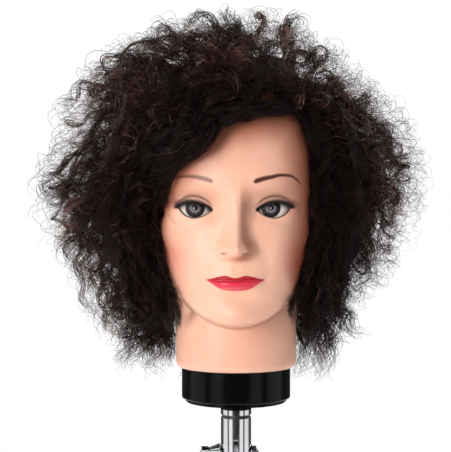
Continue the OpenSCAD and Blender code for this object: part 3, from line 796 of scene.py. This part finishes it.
def make_eye(name, eye, material):
    """A dome with a painted iris, raised a little where a cornea would be."""
    rings, spokes = 64, 128
    radius = np.linspace(0, 1, rings) ** 1.1 * EYE_PATCH
    turn = np.linspace(0, 2 * math.pi, spokes, endpoint=False)
    r, t = np.meshgrid(radius, turn, indexing="ij")
    x, h = eye["iris"] + r * np.cos(t), PUPIL_H + r * np.sin(t)
    points = ball_point(x, h, eye_middle(eye))
    off_cornea = np.hypot(x - eye["iris"] - CORNEA_SHIFT, h - PUPIL_H)
    points[..., 1] -= CORNEA_HEIGHT * limit(1 - (off_cornea / CORNEA_RADIUS) ** 2) ** 1.5
    gloss = ease(off_cornea, CORNEA_RADIUS - 0.2, CORNEA_RADIUS - 1.2)
    faces = grid_faces(rings, spokes, wrap=True)[:, ::-1]
    return make_piece(name, to_world(points.reshape(-1, 3)), faces, "head", material,
                      colors=eye_color(eye, h, r, t).reshape(-1, 3), gloss=gloss.ravel())


def tube(path, radii, sides=8, flat=1.0):
    """Closed tube of given radii along a path, as vertices and faces of four corners."""
    path, radii = np.asarray(path, float), np.asarray(radii, float)
    along = np.gradient(path, axis=0)
    along /= np.linalg.norm(along, axis=1)[:, None]
    side = np.cross(along, np.array([0.0, 1.0, 0.001]))
    side /= np.linalg.norm(side, axis=1)[:, None]
    front = np.cross(along, side)
    turn = np.linspace(0, 2 * math.pi, sides, endpoint=False)
    ring = side[:, None] * np.cos(turn)[None, :, None] + flat * front[:, None] * np.sin(turn)[None, :, None]
    vertices = path[:, None] + ring * radii[:, None, None]
    return vertices.reshape(-1, 3), grid_faces(len(path), sides, wrap=True)


def gather(parts):
    """Several (vertices, faces) as one."""
    vertices, faces, start = [], [], 0
    for v, f in parts:
        vertices.append(v)
        faces.append(f + start)
        start += len(v)
    return np.concatenate(vertices), np.concatenate(faces)


def make_lashes(material):
    """The dark line along each lid, and short lashes that fan out from the upper ones."""
    rng = np.random.default_rng(5)
    parts = []
    for eye in EYES.values():
        def on_lid(share, margin, lift):
            return ball_point(mix(eye["inner"], eye["outer"], share), margin(share), eye_middle(eye), lift)

        share = np.linspace(0.0, 1.05, 60)
        thick = 0.2 + 0.55 * np.sin(math.pi * limit(share / 1.1)) ** 0.6
        parts.append(tube(on_lid(share, upper_margin, LID_THICKNESS), thick, flat=0.7))
        share = np.linspace(0.04, 0.98, 60)
        thick = 0.12 + 0.2 * ease(share, 0.1, 0.9)
        parts.append(tube(on_lid(share, lower_margin, LID_THICKNESS - 0.3), thick, flat=0.8))
        t = np.linspace(0, 1, 7)[:, None]
        for share in np.linspace(0.1, 1.0, 34):
            share = share + rng.uniform(-0.01, 0.01)
            length = rng.uniform(2.6, 3.8) * (0.6 + 0.6 * share)
            lean = eye["body"] * (share - 0.45) * 0.9
            out = np.array([lean, -0.85, 0.1]) * t + np.array([0, -0.1, 0.75]) * t**2
            start = on_lid(np.array(share), upper_margin, LID_THICKNESS)
            parts.append(tube(start + length * out, 0.16 * (1 - 0.85 * t[:, 0]), sides=5))
    vertices, faces = gather(parts)
    return make_piece("eye_lashes", to_world(vertices), faces, "head", material)


# ---- hair

HAIR_CENTER = np.array([0.0, 12.0, 150.0])
# The hair's reach from its centre, seen from the front, by direction in degrees from the viewer's right
HAIR_REACH = [
    (-180, 170), (-168, 169), (-152, 161), (-140, 167), (-128, 176), (-118, 172), (-108, 160), (-90, 138),
    (-66, 146), (-45, 149), (-30, 153), (-12, 161), (0, 170), (25, 167), (42, 157), (58, 157), (75, 164),
    (95, 162), (112, 162), (130, 166), (148, 169), (160, 165), (172, 167), (180, 170)]
HAIR_FRONT = 116.0      # forward reach above the forehead
CHEEK_HAIR_FRONT = 84.0
NECK_HAIR_FRONT = 50.0
HAIR_BACK = 139.0
# Lines that the hair follows round the face, from the parting down to each shoulder
LEFT_HAIRLINE = [
    (66, 214), (50, 219), (24, 218), (4, 213), (-14, 208), (-22, 194), (-36, 182), (-52, 171), (-60, 158),
    (-63, 144), (-69, 128), (-66, 106), (-61, 88), (-57, 72), (-53, 52), (-57, 34), (-66, 10), (-78, -14)]
RIGHT_HAIRLINE = [
    (22, 236), (44, 224), (58, 208), (63, 192), (65, 165), (65, 140), (64, 115), (59, 98), (55, 78),
    (54, 55), (57, 36), (66, 16), (80, -2)]
# Lines of the few loose locks that cross the jaw's corners
WISP_LINES = [
    [(-64, 98), (-58, 84), (-51, 73), (-46, 62), (-41, 50), (-46, 38)],
    [(58, 92), (54, 79), (48, 69), (41, 60), (39, 53), (46, 41)]]
SCALP_GAP = 1.2         # how far strands stay off the head
STRAND_POINTS = 32
STRANDS_PER_PIECE = 1050


def hair_reach(direction):
    """Distance from the hair's centre to its outside, along unit directions."""
    dx, dy, dh = direction[..., 0], direction[..., 1], direction[..., 2]
    turn = np.degrees(np.arctan2(dh, dx))
    flat = smooth_curve(turn, HAIR_REACH)
    front = mix(CHEEK_HAIR_FRONT, HAIR_FRONT, ease(dh, 0.15, 0.6))
    front = mix(NECK_HAIR_FRONT, front, ease(dh, -0.75, -0.25))
    depth = np.where(dy < 0, front, HAIR_BACK)
    return 1 / np.sqrt((dx**2 + dh**2) / flat**2 + dy**2 / depth**2)


def keep_clear(points, slack):
    """Press points out of the face window, and out of the head, softly by each strand's slack."""
    x, y, h = points[..., 0], points[..., 1], points[..., 2]
    flat = points.reshape(-1, 3)
    near_face = (flat[:, 1] < 5) & (np.abs(flat[:, 0]) < 75)
    depth = np.full(len(flat), -1.0)
    nearest = np.zeros((len(flat), 2))
    depth[near_face], nearest[near_face] = window_depth(flat[near_face, 0], flat[near_face, 2])
    depth, nearest = depth.reshape(x.shape), nearest.reshape(x.shape + (2,))
    pressed = slack * (1 - np.exp(-np.maximum(depth, 0) / slack))
    share = np.where(depth > 0, 1 - pressed / np.maximum(depth, 1e-6), 0)
    moved = points.copy()
    moved[..., 0] = mix(x, nearest[..., 0], share)
    moved[..., 2] = mix(h, nearest[..., 1], share)
    x, h = moved[..., 0], moved[..., 2]
    width, reach = head_reach(np.clip(h, 0, head_height - 1), y)
    q = np.sqrt((x / (width + SCALP_GAP)) ** 2 + (y / (reach + SCALP_GAP)) ** 2)
    out = np.where((q < 1) & (h < head_height), 1 / np.maximum(q, 0.3), 1.0)
    moved[..., 0] = x * out
    moved[..., 1] = y * out
    return moved


def unit(v):
    return v / np.maximum(np.linalg.norm(v, axis=-1, keepdims=True), 1e-9)


def random_directions(rng, count):
    return unit(rng.normal(size=(count, 3)))


def scalp_points(direction):
    """Points of the head along directions from the hair's centre."""
    reach = np.full(direction.shape[0], 60.0)
    for _ in range(24):
        x, y, h = (HAIR_CENTER + direction * reach[:, None]).T
        width, depth = head_reach(np.clip(h, 5, head_height - 0.5), y)
        inside = ((x / width) ** 2 + (y / depth) ** 2 < 1) & (h < head_height)
        reach = np.where(inside, reach + 2.5, reach - 1.0)
    return HAIR_CENTER + direction * reach[:, None]


def clump_guides(rng, count, near=0.76, far=1.03, thin=0.0, flare=0.0):
    """Middle lines of locks that end near to far of the way out: each leaves the scalp, arches and falls.

    thin is the share of that reach lost on the viewer's right, and flare the share gained on the left.
    """
    tips_dir = random_directions(rng, count * 3)
    x, y, h = (HAIR_CENTER + tips_dir * (hair_reach(tips_dir) * 0.92)[:, None]).T
    depth, _ = window_depth(x, h)
    over_face = (depth > -2) & (y < 60)
    under_chin = (h < 10) & (np.abs(x) < 70) & (y < 0)
    tips_dir = tips_dir[~over_face & ~under_chin][:count]
    count = len(tips_dir)
    reach = hair_reach(tips_dir) * mix(near, far, rng.random(count) ** 0.7)
    reach = reach * (1 - thin * ease(tips_dir[:, 0], 0.3, 0.8))
    reach = reach * (1 + flare * np.minimum(tips_dir[:, 0], 0) ** 2)
    tips = HAIR_CENTER + tips_dir * reach[:, None]
    raised = unit(tips_dir + np.array([0.0, 0.0, 0.55]) + 0.25 * random_directions(rng, count)
                  + np.array([0.22, 0.05, 0.0]) * (tips_dir[:, 2:] > 0.2))
    roots = scalp_points(raised)
    length = np.linalg.norm(tips - roots, axis=1)[:, None]
    side = 0.35 * random_directions(rng, count)
    first = roots + (raised + side) * length * 0.5
    second = tips + (0.25 * raised + np.array([0.0, 0.0, 0.45]) + side) * length * 0.35
    return roots, first, second, tips


def bezier(points, t):
    a, b, c, d = (p[:, None, :] for p in points)
    t = t[None, :, None]
    return (1 - t) ** 3 * a + 3 * (1 - t) ** 2 * t * b + 3 * (1 - t) * t**2 * c + t**3 * d


def strand_frames(path):
    """Two directions across a path at each of its points."""
    along = unit(np.gradient(path, axis=1))
    helper = np.where(np.abs(along[..., 2:]) > 0.85, np.array([1.0, 0, 0]), np.array([0, 0, 1.0]))
    side = unit(np.cross(along, helper))
    return side, np.cross(along, side)


def curl(path, turns, radius, phase):
    """Wind strands round their path, starting straight at the root."""
    side, front = strand_frames(path)
    t = np.linspace(0, 1, path.shape[1])
    grow = ease(t, 0.0, 0.35)[None, :]
    angle = 2 * math.pi * turns[:, None] * t[None, :] + phase[:, None]
    r = radius[:, None] * grow
    return path + side * (r * np.cos(angle))[..., None] + front * (r * np.sin(angle))[..., None]


def strand_mesh(name, strands, radius, tone, material):
    """Three-sided tapered tubes, one a strand, unwrapped so that u is its tone and v runs to the tip."""
    count, points, _ = strands.shape
    side, front = strand_frames(strands)
    t = np.linspace(0, 1, points)
    taper = np.interp(t, [0, 0.15, 0.75, 1], [0.8, 1.0, 0.85, 0.25])
    r = (radius[:, None] * taper[None, :])[..., None]
    turn = 2 * math.pi * np.arange(3) / 3
    rings = [strands + r * (math.cos(a) * side + math.sin(a) * front) for a in turn]
    vertices = np.stack(rings, axis=2).reshape(-1, 3)
    first = (np.arange(count) * points * 3)[:, None, None]
    faces = (first + grid_faces(points, 3, wrap=True)).reshape(-1, 4)
    u = np.clip(tone, 0.02, 0.95)[:, None, None] + 0.012 * np.arange(3)
    uv = np.stack(np.broadcast_arrays(u, t[None, :, None]), axis=-1).reshape(-1, 2)
    return make_piece(name, to_world(vertices), faces, "head", material, uv=uv)


def face_reach(x, h):
    """How far the head reaches forward at x and h, easing off beside it."""
    width, front = head_reach(np.clip(h, 0, head_height - 1), -1)
    return front * np.sqrt(1 - np.clip(np.abs(x) / (width + 6), 0, 0.93) ** 2)


def hairline_paths(rng, line, count, span=(0.14, 0.4), breadth=34):
    """Middle lines of locks that run beside the face, each over a part (span) of one line."""
    line = np.array(line, float)
    at = np.concatenate([[0], np.cumsum(np.linalg.norm(np.diff(line, axis=0), axis=1))])
    at /= at[-1]
    outward = np.gradient(line, axis=0)[:, ::-1] * np.array([1.0, -1.0])
    outward = unit(outward) * (1 if line[-1, 0] < 0 else -1)
    span = rng.uniform(*span, count)
    start = rng.uniform(0, 1, count) * (1 - span)
    t = np.linspace(0, 1, STRAND_POINTS)[None, :]
    place = start[:, None] + span[:, None] * t
    x, h, nx, nh = (np.interp(place, at, v) for v in (line[:, 0], line[:, 1], outward[:, 0], outward[:, 1]))
    near = rng.uniform(0, 1, count) ** 1.5 * breadth + 1
    offset = near[:, None] + rng.uniform(-0.12, 0.35, count)[:, None] * breadth * t
    x, h = x + nx * offset, h + nh * offset
    lift = 2 + mix(7, 15, ease(h, 165, 200)) * rng.random(count)[:, None] + 0.2 * offset
    beside_neck = ease(h, 18, 62)
    return np.stack([x, -face_reach(x, h) * beside_neck - lift * mix(0.4, 1, beside_neck), h], axis=-1)


def nape_paths(rng, count):
    """Middle lines of locks that hang beside and behind the neck, down to the rim."""
    turn = np.radians(rng.uniform(-12, 75, count))      # from the viewer's right round towards the back
    turn = np.where(rng.random(count) < 0.5, turn, math.pi - np.abs(turn))
    around = np.stack([np.cos(turn), np.sin(turn), np.zeros(count)], axis=-1)
    up = np.array([0.0, 0.0, 1.0])

    def draw(low, high):
        return rng.uniform(low, high, (count, 1))

    root = around * 62 + up * draw(70, 120)
    tip = around * draw(58, 84) + up * draw(-14, 44)
    out = around * draw(4, 26) + 6 * random_directions(rng, count)
    return root, root + out - up * 14, tip + out + up * 26, tip


def share_out(middles, per_lock):
    """The number of locks and of strands, and the lock that each strand belongs to."""
    owner = np.repeat(np.arange(len(middles)), per_lock)
    return len(middles), len(owner), owner


def lock_strands(rng, middles, per_lock, spread, radius, pitch):
    """Strands round the middle lines of locks, and the lock that each belongs to."""
    locks, count, owner = share_out(middles, per_lock)
    fan = np.linspace(0.5, 1.4, STRAND_POINTS)[:, None]
    drift = 2.2 * np.linspace(-1, 1, STRAND_POINTS)[:, None] ** 2
    off = rng.normal(size=(count, 3)) * rng.uniform(*spread, locks)[owner, None]
    path = middles[owner] + off[:, None] * fan + rng.normal(size=(count, 1, 3)) * drift
    length = np.linalg.norm(np.diff(middles, axis=1), axis=-1).sum(1)
    winds = length / rng.uniform(*pitch, locks) * rng.choice([-1, 1], locks)
    turns = winds[owner] * rng.normal(1, 0.05, count)
    size = rng.uniform(*radius, locks)[owner] * rng.uniform(0.7, 1.25, count)
    phase = rng.uniform(0, 2 * math.pi, locks)[owner] + rng.normal(0, 0.3, count)
    return curl(path, turns, size, phase), owner


def ringlet_strands(rng, middles, per_lock):
    """Strands of locks whose ends wind into loops, each lock's in a plane of its own."""
    locks, count, owner = share_out(middles, per_lock)
    out = unit(middles[:, -1] - HAIR_CENTER)
    across = unit(np.cross(out, random_directions(rng, locks)))
    axis = np.cross(out, across)
    t = np.linspace(0, 1, STRAND_POINTS)
    turns = rng.uniform(1.2, 2.5, locks) * rng.choice([-1, 1], locks)
    phase = rng.uniform(0, 2 * math.pi, locks)[owner] + rng.normal(0, 0.2, count)
    angle = 2 * math.pi * turns[owner, None] * t**1.2 + phase[:, None]
    size = rng.uniform(4.0, 8.5, locks)[owner] * rng.normal(1, 0.13, count)
    size = size[:, None] * ease(t, 0.1, 0.5)
    drift = rng.uniform(-8, 8, locks)[owner, None] * t
    off = rng.normal(size=(count, 1, 3)) * rng.uniform(0.5, 1.5, locks)[owner, None, None]
    loose = rng.normal(size=(count, 1, 3)) * 1.6 * t[:, None] ** 2
    loops = sum(reach[..., None] * way[owner, None] for reach, way in (
        (size * np.cos(angle), out), (size * np.sin(angle), across), (drift, axis)))
    return middles[owner] + off + loose + loops, owner


def single_curls(rng, middles, turns, radius):
    """One loosely wound strand to a middle line."""
    count = len(middles)
    winds = rng.uniform(*turns, count) * rng.choice([-1, 1], count)
    return curl(middles, winds, rng.uniform(*radius, count), rng.uniform(0, 6.28, count)), np.arange(count)


def make_hair(material, shadow):
    """A dark inner mass, curly locks of strands around it, and thin frizz over them."""
    rng = np.random.default_rng(2024)
    batches = []

    def add(strands_and_owner, tones, slack, thick):
        """Keep strands out of the face, and give each its thickness in mm and its tone from 0 to 1."""
        strands, owner = strands_and_owner
        count = len(strands)
        x, y, h = strands[:, strands.shape[1] * 2 // 3].T
        # Painted shade and light in the tones: front strands over the middle of the mass are darkened, less
        # so towards its rim, and a few strands are lightened and thickened as painted highlights, more of
        # them towards the rim and the viewer's right.
        rim = ease(np.hypot(x, h - 130), 75, 160)
        stray = rng.random(count) < 0.05
        slack = np.where(stray, rng.uniform(3, 8, count), rng.uniform(*slack, count))
        tone = tones[owner] * mix(0.3, 1.0, np.where(y < 10, rim, 1)) + rng.normal(0, 0.08, count)
        bright = rng.random(count) < mix(0.04, 0.12, rim * ease(x, -40, 90))
        tone = np.where(bright, tone + rng.uniform(0.3, 0.7, count), tone)
        width = rng.uniform(*thick, count) * np.where(bright, 1.3, 1.0)
        batches.append((keep_clear(strands, slack[:, None]), width, limit(tone)))

    along = np.linspace(0, 1, STRAND_POINTS)
    wavy = bezier(clump_guides(rng, 380, thin=0.08), mix(0.3, 1, along))
    strands = lock_strands(rng, wavy, 20, (1.2, 3.8), (3, 8), (24, 44))
    add(strands, rng.beta(1.5, 2.4, len(wavy)), (0.3, 2.2), (0.16, 0.28))

    ringlets = bezier(clump_guides(rng, 400, 0.72, 0.98, thin=0.08), mix(0.4, 1, 1 - (1 - along) ** 1.8))
    strands = ringlet_strands(rng, ringlets, 13)
    add(strands, rng.beta(1.8, 2.0, len(ringlets)), (0.3, 2.2), (0.14, 0.26))

    left, right = hairline_paths(rng, LEFT_HAIRLINE, 120), hairline_paths(rng, RIGHT_HAIRLINE, 80)
    edge = np.concatenate([left, right])
    strands = lock_strands(rng, edge, 16, (0.8, 2.2), (1.5, 5), (26, 48))
    add(strands, rng.beta(1.1, 4.6, len(edge)), (0.3, 2.6), (0.2, 0.32))

    wisps = np.concatenate([hairline_paths(rng, line, 5, (0.6, 0.98), 3) for line in WISP_LINES])
    strands = lock_strands(rng, wisps, 9, (0.5, 1.5), (1.2, 3.2), (16, 28))
    add(strands, rng.beta(1.2, 4.0, len(wisps)), (14, 22), (0.14, 0.22))

    nape = bezier(nape_paths(rng, 96), along)
    strands = lock_strands(rng, nape, 14, (1.2, 3.2), (2, 6), (22, 40))
    add(strands, rng.beta(1.2, 3.4, len(nape)), (0.3, 2.2), (0.16, 0.28))

    frizz = bezier(clump_guides(rng, 5500, 0.8, 1.02), mix(0.6, 1.05, along))
    strands = single_curls(rng, frizz, (1.0, 3.6), (1.5, 9))
    add(strands, rng.uniform(0.3, 1.0, len(frizz)), (0.3, 3), (0.08, 0.15))

    loose = bezier(clump_guides(rng, 560, 0.94, 0.99, flare=0.1), mix(0.5, 1, along))
    strands = single_curls(rng, loose, (1.2, 2.6), (2.5, 6))
    add(strands, rng.uniform(0.2, 0.9, len(loose)), (0.3, 3), (0.14, 0.24))

    pieces = [make_hair_mass(shadow)]
    strands, thick, tone = (np.concatenate(part) for part in zip(*batches))
    order = rng.permutation(len(strands))
    for start in range(0, len(order), STRANDS_PER_PIECE):
        part = order[start:start + STRANDS_PER_PIECE]
        name = f"hair_locks_{start // STRANDS_PER_PIECE + 1:02d}"
        pieces.append(strand_mesh(name, strands[part], thick[part], tone[part], material))
    for piece in pieces:
        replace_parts(piece, "hair_crown", "hair_fringe", "hair_left", "hair_right", "hair_back")


def make_hair_mass(material):
    """The closed dark mass that the locks cover."""
    rows, columns = 100, 200
    polar = np.linspace(0.0, math.pi, rows)
    turn = np.linspace(0, 2 * math.pi, columns, endpoint=False)
    p, t = np.meshgrid(polar, turn, indexing="ij")
    direction = np.stack([np.sin(p) * np.sin(t), -np.sin(p) * np.cos(t), np.cos(p)], axis=-1)
    rng = np.random.default_rng(77)
    lumps = 0
    for _ in range(26):
        axis = unit(rng.normal(size=3))
        height, pitch, phase = rng.uniform(0.4, 1), rng.uniform(7, 24), rng.uniform(0, 6.28)
        lumps = lumps + height * np.sin(pitch * (direction @ axis) + phase)
    reach = hair_reach(direction) * 0.76 + 1.3 * lumps
    reach = reach * mix(0.62, 1.0, ease(direction[..., 2], -0.95, -0.5))
    points = HAIR_CENTER + direction * reach[..., None]
    depth, _ = window_depth(points[..., 0], points[..., 2])
    flat = scalp_points(direction.reshape(-1, 3)).reshape(direction.shape)
    inside = HAIR_CENTER + (flat - HAIR_CENTER) * 0.6
    hide = (depth > -7) & (points[..., 1] < 30)
    points = np.where(hide[..., None], inside, points)
    faces = grid_faces(rows, columns, wrap=True)
    return make_piece("hair_inner_mass", to_world(points.reshape(-1, 3)), faces, "head", material)


# ---- stage, lights, camera

def dress_cad_parts():
    """Give each CAD part its material; colours of metal and plastic follow the holder's finish."""
    chrome = polished_chrome()
    steel = turned_steel("turned_steel", (0.62, 0.62, 0.64), (0.46, 0.46, 0.48))
    dark = turned_steel("blackened_steel", (0.22, 0.22, 0.23), (0.12, 0.12, 0.13))
    looks = [
        (clamp_paint(), ["clamp_frame"]),
        (pale_foam(), ["foam_core"]),
        (black_rubber(), ["jaw_pad", "shoe_facing"]),
        (black_lacquer(), ["base_drum", "base_cover", "head_spigot"]),
        (satin_plastic(), ["bar_caps", "thrust_washer", "lever_grip", "spigot_cap"]),
        (steel, ["tilt_knuckle", "fork_insert", "pivot_bolt", "spindle", "cover_screws"]),
        (dark, ["tube_set_screw", "dome_nut", "retaining_ring"]),
    ]
    material_of = {name: material for material, names in looks for name in names}
    for name, node in nodes.items():
        if name != "head_skin" and not name.startswith(("eye_", "hair_")):
            node.data.materials.clear()
            node.data.materials.append(material_of.get(name, chrome))


def make_floor():
    """A pale round floor just under the clamp's bar."""
    reach, level, corners = 0.92, cad_low[2] - 0.002, 96
    turns = [2 * math.pi * i / corners for i in range(corners)]
    rim = [(reach * math.cos(t), reach * math.sin(t), level) for t in turns]
    mesh = bpy.data.meshes.new("floor")
    mesh.from_pydata(rim, [], [range(corners)])
    mesh.materials.append(floor_white())
    floor = bpy.data.objects.new("floor", mesh)
    bpy.context.scene.collection.objects.link(floor)
    floor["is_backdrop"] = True


# How bright the surroundings are from in front (0) to behind (1): as light, and in reflections
ROOM_LIGHT = ((0.12, 0.02), (0.22, 0.95), (0.32, 0.95), (0.37, 0.25), (0.5, 0.25), (0.58, 0.9), (0.85, 0.9),
              (0.95, 0.2))
ROOM_SHINE = ((0.05, 0.02), (0.09, 0.95), (0.2, 0.95), (0.23, 0.12), (0.3, 0.12), (0.35, 0.9), (0.62, 0.85),
              (0.72, 0.06))
# Each soft box: place in metres from the neck's rim, width and height, watts, and if reflections show it
SOFT_BOXES = {
    "key": ((-0.9, -1.25, 0.26), (0.45, 0.6), 18.8, True),
    "fill": ((0.9, -1.6, 0.1), (1.4, 1.4), 6, False),
    "rim_left": ((-0.9, 0.8, 0.6), (0.5, 0.9), 8, True),
    "rim_right": ((0.9, 0.8, 0.6), (0.5, 0.9), 8, True),
}
FACE_MIDDLE = Vector((0, 0, 0.12))
CAMERA_PLACE = Vector((-0.0094, -1.0, 0.1253))
CAMERA_LENS = 89.0


def above_rim(place):
    """A place in metres from the neck's rim, in the row's frame."""
    return Vector(place) + Vector((0, 0, neck_rim_z))


def add_light(name, place, size, power, reflected):
    data = bpy.data.lights.new(name, "AREA")
    data.shape = "RECTANGLE"
    data.size, data.size_y = size
    data.energy = power
    light = bpy.data.objects.new(name, data)
    light.location = above_rim(place)
    light.rotation_euler = (FACE_MIDDLE - Vector(place)).to_track_quat("-Z", "Y").to_euler()
    light.visible_glossy = reflected
    bpy.context.scene.collection.objects.link(light)


def make_studio():
    """White surroundings seen by the camera, banded in reflections, and soft boxes around the head."""
    scene = bpy.context.scene
    scene.view_settings.view_transform = "Standard"
    world = bpy.data.worlds.new("studio")
    scene.world = world
    world.use_nodes = True
    n = Nodes(world.node_tree)
    direction = n.add("TexCoord", "Generated")
    backward = n.add("MapRange", "Result", Value=n.add("SeparateXYZ", "Y", Vector=direction), From_Min=-1.0)
    light, shine = (
        n.ramp(backward, [(place, (level, level, level)) for place, level in room])
        for room in (ROOM_LIGHT, ROOM_SHINE))
    indoors = n.add("Mix", "Result", Factor=n.add("LightPath", "Is Glossy Ray"), A=light, B=shine)
    strength = n.add("Mix", "Result", Factor=n.add("LightPath", "Is Camera Ray"), A=indoors, B=1.0)
    n.feed(n.tree.nodes["Background"], Color=(1, 1, 1, 1), Strength=strength)
    for name, box in SOFT_BOXES.items():
        add_light(name, *box)


def make_camera():
    data = bpy.data.cameras.new("camera")
    data.lens = CAMERA_LENS
    data.sensor_width = 36.0
    camera = bpy.data.objects.new("camera", data)
    camera.location = above_rim(CAMERA_PLACE)
    camera.rotation_euler = (math.radians(90), 0, 0)
    bpy.context.scene.collection.objects.link(camera)
    bpy.context.scene.camera = camera


make_camera()
make_studio()
make_floor()
dress_cad_parts()
make_head_skin(vinyl_skin())
painted_eye = eye_gloss()
for side, node_name in (("left", "eye_left"), ("right", "eye_right")):
    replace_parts(make_eye(f"painted_{node_name}", EYES[side], painted_eye), node_name)
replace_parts(make_lashes(lash_black()), "head_skin")
make_hair(curly_hair(), hair_shadow())
